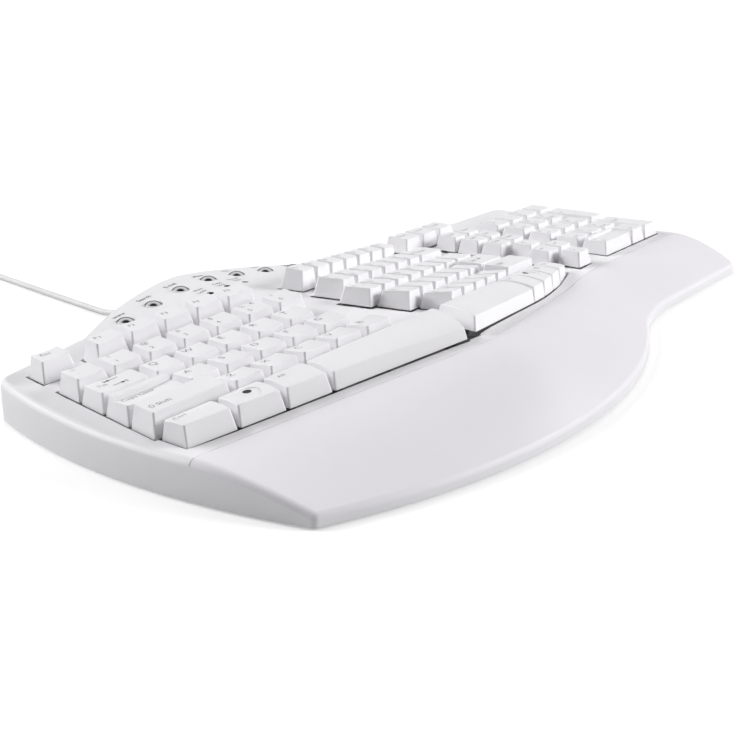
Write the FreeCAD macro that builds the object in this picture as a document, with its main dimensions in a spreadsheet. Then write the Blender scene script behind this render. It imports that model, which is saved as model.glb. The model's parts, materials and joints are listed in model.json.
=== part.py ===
"""Split, tented desk keyboard with a palm rest, a number pad and a USB cord."""
import FreeCAD, Part
import math
import os

V = FreeCAD.Vector
Rotation = FreeCAD.Rotation
Placement = FreeCAD.Placement
UP = V(0, 0, 1)

# Every driving size in millimetres or degrees: name, value, what it is.
SIZES = (
    ("half_width", 239.0, "half of the overall width of the case"),
    ("side_radius", 319.0, "plan radius of the bowed left side"),
    ("side_centre_y", -15.3, "where the left side bows out most"),
    ("front_edge_y", -126.0, "foremost point of the bowed front"),
    ("front_radius", 337.0, "plan radius of the bowed front"),
    ("front_centre_x", -78.3, "middle of the bowed front"),
    ("front_sweep_radius", 147.0, "hollow sweep from the bow to the straight front"),
    ("pad_front_y", -77.0, "straight front edge below the number pad"),
    ("back_edge_y", 103.0, "straight back edge beside the arch"),
    ("arch_back_y", 126.0, "rearmost point of the arch"),
    ("arch_radius", 203.6, "plan radius of the arch"),
    ("arch_centre_x", -68.0, "middle of the arch"),
    ("front_left_round", 4.0, "plan radius of the front left corner"),
    ("front_right_round", 6.0, "plan radius of the front right corner"),
    ("back_corner_round", 9.0, "plan radius of both back corners"),
    ("arch_blend_round", 12.0, "hollow radius where the arch meets the back"),
    ("rim_round", 3.5, "rounding of the deck's outer edge"),
    ("foot_lift", 0.8, "gap below the case that the rubber feet make"),
    ("floor_thick", 1.8, "thickness of the case floor"),
    ("wall_thick", 2.2, "thickness of the side walls"),
    ("lid_thick", 2.4, "thickness of the deck and of the palm rest"),
    ("seam_gap", 0.4, "gap between the deck and the palm rest"),
    ("lip_height", 5.5, "height of the palm rest at its front edge"),
    ("palm_power", 1.8, "how fast the palm rest curves down to the front"),
    ("seam_left_y", -31.0, "plan place of the seam at the left side"),
    ("seam_left_fall", 0.30, "how fast the seam runs forward from there"),
    ("seam_ridge_y", -78.5, "plan place of the seam in front of the ridge"),
    ("seam_right_rise", 0.26, "how fast the seam runs back from there"),
    ("seam_pad_y", -34.0, "plan place of the seam beside the number pad"),
    ("seam_ridge_blend", 4.6, "softness of the seam's front point"),
    ("seam_pad_blend", 3.0, "softness of the seam's bend beside the pad"),
    ("front_blend", 8.6, "softness of the bend in the front edge"),
    ("ridge_x", -75.8, "plan place of the ridge between the two wings"),
    ("ridge_soft", 12.0, "half width over which the ridge is rounded"),
    ("left_rim_height", 18.2, "deck height along the left side"),
    ("right_rim_height", 21.0, "deck height round the number pad"),
    ("rim_change_x", 70.0, "where the deck starts to change to the pad's height"),
    ("rim_change_long", 60.0, "how far that change runs"),
    ("rim_blend", 1.5, "softness of the bend between a wing and the rim"),
    ("deck_drop", 10.0, "deck surface below the key tops of a wing"),
    ("key_pitch", 19.05, "distance from key to key"),
    ("function_deep", 15.0, "front to back cell of the top row"),
    ("small_pitch", 16.24, "distance from key to key in the editing keys"),
    ("wing_yaw", 12.08, "turn of each wing in plan"),
    ("wing_tent", 6.4, "sideways tilt of each wing"),
    ("wing_slope", 1.2, "rise of each wing to the back"),
    ("left_x", -219.86, "outer front corner of the left number key"),
    ("left_y", 46.51, "outer front corner of the left number key"),
    ("left_corner_lift", 4.42, "backing plate above the floor there"),
    ("right_x", 89.25, "outer front corner of the backspace key"),
    ("right_y", 50.99, "outer front corner of the backspace key"),
    ("right_corner_lift", 2.02, "backing plate above the floor there"),
    ("pad_x", 150.7, "left front corner of the top left pad key"),
    ("pad_y", 49.2, "left front corner of the top left pad key"),
    ("pad_lift", 5.4, "level backing plate above the floor"),
    ("edit_x", 105.9, "left front corner of the top left editing key"),
    ("edit_y", 54.1, "left front corner of the top left editing key"),
    ("print_x", 84.5, "left front corner of the print key"),
    ("print_y", 75.9, "left front corner of the print key"),
    ("cap_gap", 1.15, "gap between the skirts of two keys"),
    ("cap_depth", 10.0, "skirt edge below the key tops"),
    ("level_cap_depth", 9.2, "the same on the number pad and the editing keys"),
    ("cap_wall", 1.3, "wall of a key cap"),
    ("cap_roof", 1.6, "roof of a key cap"),
    ("cap_taper", 1.95, "how far the top edge stands in from the skirt"),
    ("small_taper", 1.7, "the same on the small editing keys"),
    ("bar_taper", 2.0, "the same on the front faces of the bottom row"),
    ("bar_side_taper", 1.3, "the same on the sides of the bottom row"),
    ("cap_round", 1.0, "radius of the upright corners of a cap"),
    ("dish_depth", 0.6, "depth of the finger dish"),
    ("dish_spare", 0.3, "how far the dish runs past the top edge"),
    ("crown_skim", 0.05, "how far a crown stays below the plain top"),
    ("top_edge", 0.4, "rounding of the top edge of a key"),
    ("bar_top_edge", 0.8, "rounding of the top edge in the bottom row"),
    ("badge_wide", 10.5, "round recess in the top of a logo key"),
    ("badge_deep", 0.3, "round recess in the top of a logo key"),
    ("crown_radius", 40.0, "crown of the bottom row's outer keys"),
    ("bar_crown_radius", 35.0, "crown of the space bars"),
    ("opening_gap", 0.5, "deck opening outside the key cells"),
    ("opening_depth", 14.6, "how far down the openings are cleared"),
    ("key_travel", 3.3, "full travel of a key"),
    ("travel_rest", 1.9, "skirt above the key frame when fully pressed"),
    ("stem_wide", 5.0, "stem width across the board"),
    ("stem_deep", 4.0, "stem width front to back"),
    ("stem_reach", 0.5, "stem below the key frame"),
    ("stem_slip", 0.28, "running gap round a stem in its sleeve"),
    ("sleeve_wall", 1.2, "wall of a sleeve"),
    ("sleeve_rise", 2.9, "sleeve above the key frame"),
    ("frame_thick", 1.4, "thickness of the key frame"),
    ("frame_margin", 2.2, "key frame outside the key cells"),
    ("rim_wall", 1.2, "wall of the rim round a key frame"),
    ("rim_slip", 0.4, "sheets inside that rim"),
    ("dome_high", 3.5, "height of a rubber dome"),
    ("dome_wide", 8.4, "width of a rubber dome at its foot"),
    ("dome_crown", 4.6, "width of a rubber dome at its crown"),
    ("dome_wall", 0.6, "wall of a rubber dome"),
    ("dome_touch", 0.1, "gap between a dome and its stem"),
    ("sheet_thick", 0.5, "base of the rubber sheet"),
    ("membrane_thick", 0.4, "contact membrane"),
    ("plate_thick", 0.8, "steel backing plate"),
    ("post_wide", 8.0, "posts that carry the backing plates"),
    ("tower_wide", 7.0, "screw towers below the lids"),
    ("tower_base", 3.0, "height of the bosses on the floor"),
    ("boss_wide", 9.0, "width of the bosses on the floor"),
    ("screw_wide", 2.8, "screw shank"),
    ("screw_slip", 0.1, "hole wider than the shank"),
    ("screw_reach", 5.0, "shank inside the tower"),
    ("head_wide", 5.0, "screw head"),
    ("head_high", 1.6, "screw head"),
    ("head_sink", 0.5, "head above the underside of the case"),
    ("head_slip", 0.4, "recess wider than the head"),
    ("foot_wide", 12.0, "rubber foot"),
    ("foot_sink", 0.6, "how deep a rubber foot sits in the floor"),
    ("flip_long", 56.0, "flip foot along its hinge"),
    ("flip_deep", 17.0, "flip foot from its hinge to its edge"),
    ("flip_thick", 3.0, "flip foot thickness"),
    ("flip_slip", 0.5, "gap round a folded flip foot"),
    ("flip_sink", 0.4, "flip foot above the underside of the case"),
    ("flip_wall", 1.6, "wall of the flip foot pocket"),
    ("flip_pin", 2.0, "hinge pin"),
    ("flip_pin_reach", 1.4, "hinge pin inside the pocket wall"),
    ("flip_pin_slip", 0.2, "gap round the hinge pin"),
    ("board_top", 16.0, "upper face of the controller board"),
    ("board_thick", 1.6, "controller board"),
    ("board_slip", 1.0, "board clear of the side wall"),
    ("button_wide", 9.2, "chrome dome button"),
    ("button_crown", 1.7, "dome above the deck"),
    ("button_shoulder", 0.2, "skirt of the button above the deck"),
    ("button_slip", 0.3, "gap round a dome button"),
    ("button_flange", 1.3, "flange that keeps the button in the deck"),
    ("flange_gap", 0.9, "flange below the deck"),
    ("flange_thick", 1.0, "flange of a dome button"),
    ("button_stem", 3.2, "stem of a dome button"),
    ("button_travel", 0.6, "travel of a dome button"),
    ("button_rest", 0.2, "stem above its switch when fully pressed"),
    ("switch_wide", 6.0, "push switch"),
    ("switch_high", 3.5, "push switch"),
    ("plunger_wide", 3.4, "plunger of a push switch"),
    ("plunger_high", 0.8, "plunger of a push switch"),
    ("lamp_wide", 3.8, "indicator window"),
    ("led_gap", 0.3, "lamp below the deck"),
    ("led_wide", 3.0, "indicator lamp"),
    ("led_high", 4.0, "indicator lamp"),
    ("led_leg", 0.5, "leg of an indicator lamp"),
    ("led_leg_pitch", 1.6, "distance between the two legs"),
    ("cord_wide", 3.6, "cord"),
    ("cord_lift", 0.1, "cord above the desk"),
    ("cord_exit_z", 9.0, "height of the cord's exit"),
    ("relief_long", 18.0, "strain relief behind the case"),
    ("relief_root", 8.0, "strain relief at the case"),
    ("relief_tip", 5.4, "strain relief at its tip"),
    ("relief_gap", 0.3, "flange clear of the back wall"),
    ("relief_flange", 11.0, "flange inside the back wall"),
    ("relief_flange_thick", 1.6, "flange inside the back wall"),
    ("coil_middle_radius", 20.8, "mean radius of the coiled cord"),
    ("coil_pitch", 4.2, "distance from turn to turn, both ways"),
    ("coil_turns", 2.5, "turns in each layer between the reversals"),
    ("coil_y", 399.0, "middle of the coil behind the keyboard"),
    ("coil_start_x", -42.0, "where the cord runs into the coil"),
    ("tie_thick", 1.0, "strap round the coil"),
    ("tie_wide", 7.0, "strap round the coil"),
    ("tie_slip", 0.2, "gap below and above the coil in the strap"),
    ("tie_side_slip", 0.8, "gap beside the coil in the strap"),
    ("grip_long", 28.0, "grip of the plug"),
    ("grip_wide", 14.0, "grip of the plug"),
    ("grip_high", 8.0, "grip of the plug"),
    ("grip_round", 2.0, "edge radius of the grip"),
    ("shell_long", 12.0, "metal shell in front of the grip"),
    ("shell_wide", 12.0, "metal shell"),
    ("shell_high", 4.5, "metal shell"),
    ("shell_wall", 0.4, "metal shell"),
    ("tongue_thick", 1.8, "contact tongue inside the shell"),
)

doc = FreeCAD.newDocument("SplitKeyboard")
sheet = doc.addObject("Spreadsheet::Sheet", "Sizes")
for row, (alias, value, note) in enumerate(SIZES, start=1):
    sheet.set("A%d" % row, note)
    sheet.set("B%d" % row, str(value))
    sheet.setAlias("B%d" % row, alias)
doc.recompute()


class Values:
    """The sheet's numbers under their own names."""

    def __init__(self):
        for alias, value, note in SIZES:
            setattr(self, alias, float(sheet.get(alias)))


S = Values()

# Levels below the key tops, measured square to a group of keys.
PLATE_TOP = -(S.cap_depth + S.key_travel + S.travel_rest)
PLATE_LOW = PLATE_TOP - S.frame_thick
STEM_LOW = PLATE_LOW - S.stem_reach
DOME_TOP = STEM_LOW - S.dome_touch
SHEET_TOP = DOME_TOP - S.dome_high
SHEET_LOW = SHEET_TOP - S.sheet_thick
MEMBRANE_LOW = SHEET_LOW - S.membrane_thick
STACK_LOW = MEMBRANE_LOW - S.plate_thick
FLOOR_TOP = S.foot_lift + S.floor_thick
ABOVE_ALL = 70.0


def piece(name, shape, placement=None):
    """Put a finished shape into the document under its node name."""
    item = doc.addObject("Part::Feature", name)
    item.Label = name
    item.Shape = shape
    item.Placement = placement if placement else shape.Placement
    return item


def primitive(kind, name, formulas, base=V(0, 0, 0), turn=None):
    """A Part primitive whose sizes follow cells of the sheet."""
    item = doc.addObject(kind, name)
    for prop, formula in formulas.items():
        item.setExpression(prop, formula)
    item.Placement = Placement(base, turn if turn else Rotation())
    return item


def joined(name, items):
    """Several loose solids of the document as one node."""
    group = doc.addObject("Part::Compound", name)
    group.Label = name
    group.Links = items
    return group


def fused(shapes):
    """Union of shapes that touch or overlap."""
    if len(shapes) == 1:
        return shapes[0]
    return shapes[0].multiFuse(shapes[1:]).removeSplitter()


# Plan outline of the case.

def arc(centre, start, end):
    """The shorter arc about a centre from one point to another."""
    toward = ((start - centre) + (end - centre)).normalize()
    middle = centre + toward * (start - centre).Length
    return Part.Arc(start, middle, end).toShape()


def circle_cross(centre_a, radius_a, centre_b, radius_b, side):
    """One of the two points where two plan circles cross."""
    between = centre_b - centre_a
    far = between.Length
    along = (far ** 2 + radius_a ** 2 - radius_b ** 2) / (2 * far)
    across = math.sqrt(radius_a ** 2 - along ** 2)
    ahead = between.normalize()
    return centre_a + ahead * along + V(-ahead.y, ahead.x, 0) * across * side


def outline_plan(inset):
    """Plan wire of the case, moved inward, with sharp corners, and its corners."""
    side_centre = V(S.side_radius - S.half_width, S.side_centre_y, 0)
    side_radius = S.side_radius - inset
    front_centre = V(S.front_centre_x, S.front_edge_y + S.front_radius, 0)
    front_radius = S.front_radius - inset
    arch_centre = V(S.arch_centre_x, S.arch_back_y - S.arch_radius, 0)
    arch_radius = S.arch_radius - inset
    right_x = S.half_width - inset
    back_y = S.back_edge_y - inset
    front_left = circle_cross(side_centre, side_radius, front_centre, front_radius, 1)
    sweep_y = S.pad_front_y - S.front_sweep_radius
    reach = S.front_radius + S.front_sweep_radius
    sweep_x = S.front_centre_x + math.sqrt(reach ** 2 - (sweep_y - front_centre.y) ** 2)
    sweep_centre = V(sweep_x, sweep_y, 0)
    sweep_start = front_centre + (sweep_centre - front_centre) * (front_radius / reach)
    sweep_end = V(sweep_x, S.pad_front_y + inset, 0)
    front_right = V(right_x, S.pad_front_y + inset, 0)
    back_right = V(right_x, back_y, 0)
    half_arch = math.sqrt(arch_radius ** 2 - (back_y - arch_centre.y) ** 2)
    arch_right = V(S.arch_centre_x + half_arch, back_y, 0)
    arch_left = V(S.arch_centre_x - half_arch, back_y, 0)
    bow = math.sqrt(side_radius ** 2 - (back_y - S.side_centre_y) ** 2)
    back_left = V(side_centre.x - bow, back_y, 0)
    edges = [
        arc(front_centre, front_left, sweep_start),
        arc(sweep_centre, sweep_start, sweep_end),
        Part.LineSegment(sweep_end, front_right).toShape(),
        Part.LineSegment(front_right, back_right).toShape(),
        Part.LineSegment(back_right, arch_right).toShape(),
        arc(arch_centre, arch_right, arch_left),
        Part.LineSegment(arch_left, back_left).toShape(),
        arc(side_centre, back_left, front_left),
    ]
    corners = (
        (front_left, max(S.front_left_round - inset, 0.5)),
        (front_right, max(S.front_right_round - inset, 0.5)),
        (back_right, S.back_corner_round - inset),
        (back_left, S.back_corner_round - inset),
        (arch_right, S.arch_blend_round + inset),
        (arch_left, S.arch_blend_round + inset),
    )
    return Part.Wire(edges), corners


def upright_at(edge, corner):
    """Is this the upright edge that stands on a plan corner?"""
    ends = [vertex.Point for vertex in edge.Vertexes]
    if len(ends) != 2 or abs(ends[0].z - ends[1].z) < 0.5:
        return False
    return all(math.hypot(p.x - corner.x, p.y - corner.y) < 0.01 for p in ends)


def outline_block(inset, low, high):
    """Upright block inside the outline, from one height to another."""
    wire, corners = outline_plan(inset)
    block = Part.Face(wire).extrude(V(0, 0, high - low))
    for corner, radius in corners:
        edges = [edge for edge in block.Edges if upright_at(edge, corner)]
        block = block.makeFillet(radius, edges).Solids[0]
    block.translate(V(0, 0, low))
    return block


# Height of the upper surface.

def soft_max(a, b, blend):
    return 0.5 * (a + b + math.sqrt((a - b) ** 2 + blend ** 2))


def soft_min(a, b, blend):
    return 0.5 * (a + b - math.sqrt((a - b) ** 2 + blend ** 2))


def seam_line(x):
    """Plan line where the deck and the palm rest meet."""
    left = S.seam_left_y - S.seam_left_fall * (x + S.half_width)
    right = S.seam_ridge_y + S.seam_right_rise * (x - S.ridge_x)
    point = soft_max(left, right, S.seam_ridge_blend)
    return soft_min(point, S.seam_pad_y, S.seam_pad_blend)


def front_line(x):
    """Plan line of the front edge."""
    reach = max(S.front_radius ** 2 - (x - S.front_centre_x) ** 2, 1.0)
    bow = S.front_edge_y + S.front_radius - math.sqrt(reach)
    return soft_min(bow, S.pad_front_y, S.front_blend)


def turned(yaw, tent):
    """Turn in plan, then the sideways tilt, then the rise to the back."""
    plan = Rotation(UP, yaw)
    return plan * Rotation(V(0, 1, 0), tent) * Rotation(V(1, 0, 0), S.wing_slope)


LEFT_Z = FLOOR_TOP + S.left_corner_lift - STACK_LOW
RIGHT_Z = FLOOR_TOP + S.right_corner_lift - STACK_LOW
PAD_Z = FLOOR_TOP + S.pad_lift - STACK_LOW
LEFT_NORMAL = turned(-S.wing_yaw, -S.wing_tent).multVec(UP)
DECK_SLOPE = -LEFT_NORMAL.x / LEFT_NORMAL.z
RIDGE_TOP = LEFT_Z - S.deck_drop / LEFT_NORMAL.z + DECK_SLOPE * (S.ridge_x - S.left_x)


def deck_height(x):
    """Height of the deck, which follows the wings and then the pad."""
    wing = RIDGE_TOP - DECK_SLOPE * math.hypot(x - S.ridge_x, S.ridge_soft)
    share = min(max((x - S.rim_change_x) / S.rim_change_long, 0.0), 1.0)
    share = share * share * (3 - 2 * share)
    rim = S.left_rim_height + (S.right_rim_height - S.left_rim_height) * share
    return soft_max(wing, rim, S.rim_blend)


def surface_height(x, y):
    """Height of the deck, and of the palm rest in front of the seam."""
    deck = deck_height(x)
    seam = seam_line(x)
    share = max((seam - y) / (seam - front_line(x)), 0.0)
    return deck - (deck - S.lip_height) * share ** S.palm_power


def surface_face(drop):
    """The upper surface, lowered by a wall."""
    rows = []
    for step_x in range(-25, 26):
        x = step_x * 10.0
        column = []
        for step_y in range(-19, 20):
            y = step_y * 7.0
            column.append(V(x, y, surface_height(x, y) - drop))
        rows.append(column)
    surface = Part.BSplineSurface()
    surface.interpolate(rows)
    return surface.toShape()


ABOVE_LID = surface_face(S.lid_thick).extrude(V(0, 0, ABOVE_ALL))
ABOVE_MIDDLE = surface_face(S.lid_thick / 2).extrude(V(0, 0, ABOVE_ALL))


# Key groups: each has a plane through its key tops and a grid of cells.

class Group:
    """A plane through key tops. Cells count in pitches from its corner."""

    def __init__(self, corner, turn, pitch, side, skirt):
        self.placement = Placement(corner, turn)
        self.pitch = pitch
        self.side = side
        self.skirt = skirt

    def outline(self, corners):
        """Corner points in millimetres, counterclockwise."""
        points = [V(self.side * self.pitch * u, self.pitch * v, 0) for u, v in corners]
        return points if self.side > 0 else points[::-1]

    def cell(self, start, row, wide=1.0, deep=1.0):
        """A rectangular cell; row counts down from the number row."""
        low = -row
        corners = ((start, low), (start + wide, low), (start + wide, low + deep), (start, low + deep))
        return self.outline(corners)


LEVEL = Rotation()
LEFT_TURN = turned(-S.wing_yaw, -S.wing_tent)
RIGHT_TURN = turned(S.wing_yaw, S.wing_tent)
LEFT = Group(V(S.left_x, S.left_y, LEFT_Z), LEFT_TURN, S.key_pitch, 1, S.cap_depth)
RIGHT = Group(V(S.right_x, S.right_y, RIGHT_Z), RIGHT_TURN, S.key_pitch, -1, S.cap_depth)
PAD = Group(V(S.pad_x, S.pad_y, PAD_Z), LEVEL, S.key_pitch, 1, S.level_cap_depth)
EDIT = Group(V(S.edit_x, S.edit_y, PAD_Z), LEVEL, S.small_pitch, 1, S.level_cap_depth)
PRINT = Group(V(S.print_x, S.print_y, PAD_Z), LEVEL, S.key_pitch, 1, S.level_cap_depth)

# Sculpted rows: how far each row's tops stand above the group's plane, at
# their front and at their back edge.
ROW_RISE = ((0.4, 0.2), (-0.6, -1.3), (0.0, -1.5), (1.4, -1.2))
PAD_RISE = ((0.1, 0.1), (0.1, 0.0), (-0.44, -0.9), (-0.7, -1.3), (0.0, -1.0))
FUNCTION_RISE = (1.0, 1.9)
ESC_RISE = (0.5, 1.0)
FLAT_RISE = (0.0, 0.0)
CROWN_RISE = (-0.2, -0.2)
BAR_RISE = (-0.4, -0.4)
FUNCTION_ROW = -1.425
FUNCTION_DEEP = S.function_deep / S.key_pitch
BAR_APEX = -3.55


class Key:
    """One key: its cell, the rise of its top at front and back, and its kind."""

    def __init__(self, group, cell, rise, kind="dish", posts=(0.0,), badge=False):
        self.group = group
        self.cell = cell
        self.front_rise, self.back_rise = rise
        self.top = max(rise)
        self.kind = kind
        self.posts = posts
        self.badge = badge


def run_of_keys(group, row, start, count, rise, deep=1.0):
    return [Key(group, group.cell(start + i, row, 1.0, deep), rise) for i in range(count)]


def letter_keys(group, row, start, count):
    return run_of_keys(group, row, start, count, ROW_RISE[row])


def wide_key(group, row, start, wide, rise, deep=1.0):
    return [Key(group, group.cell(start, row, wide, deep), rise)]


def left_front(u):
    """Front edge of the left bottom row."""
    return -3.85 - 0.076 * u


def right_front(m):
    """Front edge of the right bottom row."""
    return max(-4.04 - 0.075 * m, -4.33)


def bottom_cell(group, start, end, front, back_start=None, back_end=None):
    """A cell of the bottom row, whose front edge runs aslant."""
    near = start if back_start is None else back_start
    far = end if back_end is None else back_end
    return group.outline(((start, front(start)), (end, front(end)), (far, -3.0), (near, -3.0)))


def bottom_key(group, start, end, front, back_start=None, badge=False):
    cell = bottom_cell(group, start, end, front, back_start)
    return [Key(group, cell, CROWN_RISE, "crown", badge=badge)]


KEYS = {
    "esc_key": [Key(LEFT, LEFT.cell(0.02, -1.59, 1.0, FUNCTION_DEEP), ESC_RISE)],
    "f_keys_left": run_of_keys(LEFT, FUNCTION_ROW, 1.446, 5, FUNCTION_RISE, FUNCTION_DEEP),
    "f_keys_right": run_of_keys(RIGHT, FUNCTION_ROW, 0.57, 7, FUNCTION_RISE, FUNCTION_DEEP),
    "number_keys_left": letter_keys(LEFT, 0, 0.0, 7),
    "number_keys_right": letter_keys(RIGHT, 0, 2.0, 6),
    "backspace_key": wide_key(RIGHT, 0, 0.0, 2.0, ROW_RISE[0]),
    "tab_key": wide_key(LEFT, 1, 0.0, 1.5, ROW_RISE[1]),
    "upper_letters_left": letter_keys(LEFT, 1, 1.5, 5),
    "upper_letters_right": letter_keys(RIGHT, 1, 1.5, 7),
    "backslash_key": wide_key(RIGHT, 1, 0.0, 1.5, ROW_RISE[1]),
    "caps_lock_key": wide_key(LEFT, 2, 0.0, 1.75, ROW_RISE[2]),
    "home_letters_left": letter_keys(LEFT, 2, 1.75, 5),
    "home_letters_right": letter_keys(RIGHT, 2, 2.25, 6),
    "enter_key": wide_key(RIGHT, 2, 0.0, 2.25, ROW_RISE[2]),
    "shift_key_left": wide_key(LEFT, 3, 0.0, 2.25, ROW_RISE[3]),
    "lower_letters_left": letter_keys(LEFT, 3, 2.25, 5),
    "lower_letters_right": letter_keys(RIGHT, 3, 2.75, 5),
    "shift_key_right": wide_key(RIGHT, 3, 0.0, 2.75, ROW_RISE[3]),
    "ctrl_key_left": bottom_key(LEFT, 0.21, 1.555, left_front, 0.095),
    "logo_key_left": bottom_key(LEFT, 1.555, 2.845, left_front, badge=True),
    "alt_key_left": bottom_key(LEFT, 2.845, 4.12, left_front),
    "space_bar_left": [
        Key(LEFT, bottom_cell(LEFT, 4.12, 8.22, left_front, back_end=8.43), BAR_RISE, "bar",
            (0.0, -1.5, 1.25)),
    ],
    "space_bar_right": [
        Key(RIGHT, bottom_cell(RIGHT, 4.57, 9.84, right_front, back_end=9.22), BAR_RISE, "bar",
            (0.0, -1.5, 1.5)),
    ],
    "alt_key_right": bottom_key(RIGHT, 3.36, 4.57, right_front),
    "logo_key_right": bottom_key(RIGHT, 2.15, 3.36, right_front, badge=True),
    "menu_key": bottom_key(RIGHT, 1.0, 2.15, right_front),
    "ctrl_key_right": bottom_key(RIGHT, 0.0, 1.0, right_front),
    "print_keys": run_of_keys(PRINT, 0, 0.0, 3, FLAT_RISE),
    "editing_keys": [
        Key(EDIT, EDIT.cell(column, row), FLAT_RISE) for row in range(3) for column in range(2)
    ],
    "arrow_keys": [
        Key(EDIT, EDIT.cell(column, row), FLAT_RISE)
        for column, row in ((0.5, 3), (0.0, 4), (1.0, 4), (0.5, 5))
    ],
    "pad_upper_keys": run_of_keys(PAD, 0, 0.0, 4, PAD_RISE[0]),
    "pad_digit_keys": [
        Key(PAD, PAD.cell(column, row), PAD_RISE[row]) for row in (1, 2, 3) for column in range(3)
    ],
    "pad_plus_key": wide_key(PAD, 2, 3.0, 1.0, PAD_RISE[1], 2.0),
    "pad_enter_key": wide_key(PAD, 4, 3.0, 1.0, PAD_RISE[3], 2.0),
    "pad_zero_key": wide_key(PAD, 4, 0.0, 2.0, PAD_RISE[4]),
    "pad_point_key": wide_key(PAD, 4, 2.0, 1.0, PAD_RISE[4]),
}


def inset(points, front, back, side):
    """Move the edges of a plan polygon inward, each by its own amount."""
    lines = []
    for here, after in zip(points, points[1:] + points[:1]):
        ahead = (after - here).normalize()
        if abs(ahead.x) < abs(ahead.y):
            amount = side
        elif ahead.x > 0:
            amount = front
        else:
            amount = back
        lines.append((here + V(-ahead.y, ahead.x, 0) * amount, ahead))
    corners = []
    for (point_a, ahead_a), (point_b, ahead_b) in zip(lines[-1:] + lines[:-1], lines):
        cross = ahead_a.x * ahead_b.y - ahead_a.y * ahead_b.x
        gap = point_b - point_a
        along = (gap.x * ahead_b.y - gap.y * ahead_b.x) / cross
        corners.append(point_a + ahead_a * along)
    return corners


def cap_taper(key):
    """How far the top edge stands in at the front, back and sides."""
    if key.kind in ("crown", "bar"):
        return (S.bar_taper, S.cap_taper, S.bar_side_taper)
    if key.group is EDIT:
        return (S.small_taper,) * 3
    return (S.cap_taper,) * 3


def plane_sided(lower, upper):
    """Solid with plane sides between two plan polygons with the same corners."""
    rings = [lower[::-1], upper]
    for i in range(len(lower)):
        j = (i + 1) % len(lower)
        rings.append([lower[i], lower[j], upper[j], upper[i]])
    shell = Part.makeShell([Part.Face(Part.makePolygon(ring + ring[:1])) for ring in rings])
    shell.sewShape()
    return Part.makeSolid(shell)


def tapered_block(key, wall, low, high):
    """Block between two heights, inside the cap's sides by a wall."""
    full = key.group.skirt + key.top
    rings = []
    for level in (low, high):
        share = (level + key.group.skirt) / full
        margins = [S.cap_gap / 2 + wall + taper * share for taper in cap_taper(key)]
        rings.append([point + V(0, 0, level) for point in inset(key.cell, *margins)])
    return plane_sided(*rings)


def soft_corners(solid):
    """Round the upright corners of a cap."""
    edges = [edge for edge in solid.Edges if edge.BoundBox.ZLength > S.cap_depth / 2]
    return solid.makeFillet(S.cap_round, edges)


def middle_of(points):
    """Middle of a plan polygon's box."""
    xs = [p.x for p in points]
    ys = [p.y for p in points]
    return V((min(xs) + max(xs)) / 2, (min(ys) + max(ys)) / 2, 0)


def stem_places(key):
    """Plan places of a key's stem and of its side posts."""
    middle = middle_of(key.cell)
    return [middle + V(offset * S.key_pitch, 0, 0) for offset in key.posts]


def crown_tool(key):
    """Round bar that dishes a key's top, or that a crowned top follows."""
    middle = middle_of(key.cell)
    box = Part.makePolygon(key.cell + key.cell[:1]).BoundBox
    if key.kind == "dish":
        front, back, side = cap_taper(key)
        half = box.XLength / 2 - S.cap_gap / 2 - side + S.dish_spare
        radius = (half ** 2 + S.dish_depth ** 2) / (2 * S.dish_depth)
        lift = radius - S.dish_depth
        near = V(middle.x, box.YMin + S.cap_gap / 2 + front, key.front_rise + lift)
        far = V(middle.x, box.YMax - S.cap_gap / 2 - back, key.back_rise + lift)
        ahead = (far - near).normalize()
        return Part.makeCylinder(radius, 2 * box.YLength, near - ahead * box.YLength / 2, ahead)
    radius = S.bar_crown_radius if key.kind == "bar" else S.crown_radius
    centre = V(box.XMin - 5, BAR_APEX * S.key_pitch, key.top - S.crown_skim - radius)
    bar = Part.makeCylinder(radius, box.XLength + 10, centre, V(1, 0, 0))
    bar.rotate(centre, V(1, 0, 0), 180)
    return bar


def soft_top(key, cap):
    """Round the edges of a key's top."""
    top = max(cap.Faces, key=lambda face: face.CenterOfMass.z)
    radius = S.top_edge if key.kind == "dish" else S.bar_top_edge
    return cap.makeFillet(radius, top.Edges)


def badge_recess(key, tool):
    """Shallow round recess that follows the crown of a key's top."""
    place = middle_of(key.cell)
    column = Part.makeCylinder(S.badge_wide / 2, S.cap_depth, place - V(0, 0, S.cap_depth / 2))
    floor = tool.copy()
    floor.translate(V(0, 0, -S.badge_deep))
    return column.cut(floor)


def block(wide, deep, low, high, place):
    """Upright block centred on a plan place."""
    corner = V(place.x - wide / 2, place.y - deep / 2, low)
    return Part.makeBox(wide, deep, high - low, corner)


def key_cap(key):
    """Hollow cap with its stem, in its group's frame."""
    low = -key.group.skirt
    outer = soft_corners(tapered_block(key, 0.0, low, key.top))
    tool = crown_tool(key)
    if key.kind == "dish":
        outer = outer.cut(tool)
        roof_low = min(key.front_rise, key.back_rise) - S.dish_depth - S.cap_roof
    else:
        outer = outer.common(tool)
        roof_low = key.top - 2 * S.cap_roof - S.dish_depth
    outer = soft_top(key, outer)
    if key.badge:
        outer = outer.cut(badge_recess(key, tool))
    hollow = tapered_block(key, S.cap_wall, low, roof_low)
    stems = [
        block(S.stem_wide, S.stem_deep, STEM_LOW, roof_low + S.cap_roof / 2, place)
        for place in stem_places(key)
    ]
    return fused([outer.cut(hollow)] + stems)


def loose_solids(shapes):
    """Several solids that stay apart in one node."""
    solids = [solid for shape in shapes for solid in shape.Solids]
    return solids[0] if len(solids) == 1 else Part.makeCompound(solids)


key_nodes = {}
for node, keys in KEYS.items():
    caps = [key_cap(key) for key in keys]
    key_nodes[node] = piece(node, loose_solids(caps), keys[0].group.placement)


# Areas of the boards below the keys and of the openings in the deck.

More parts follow.
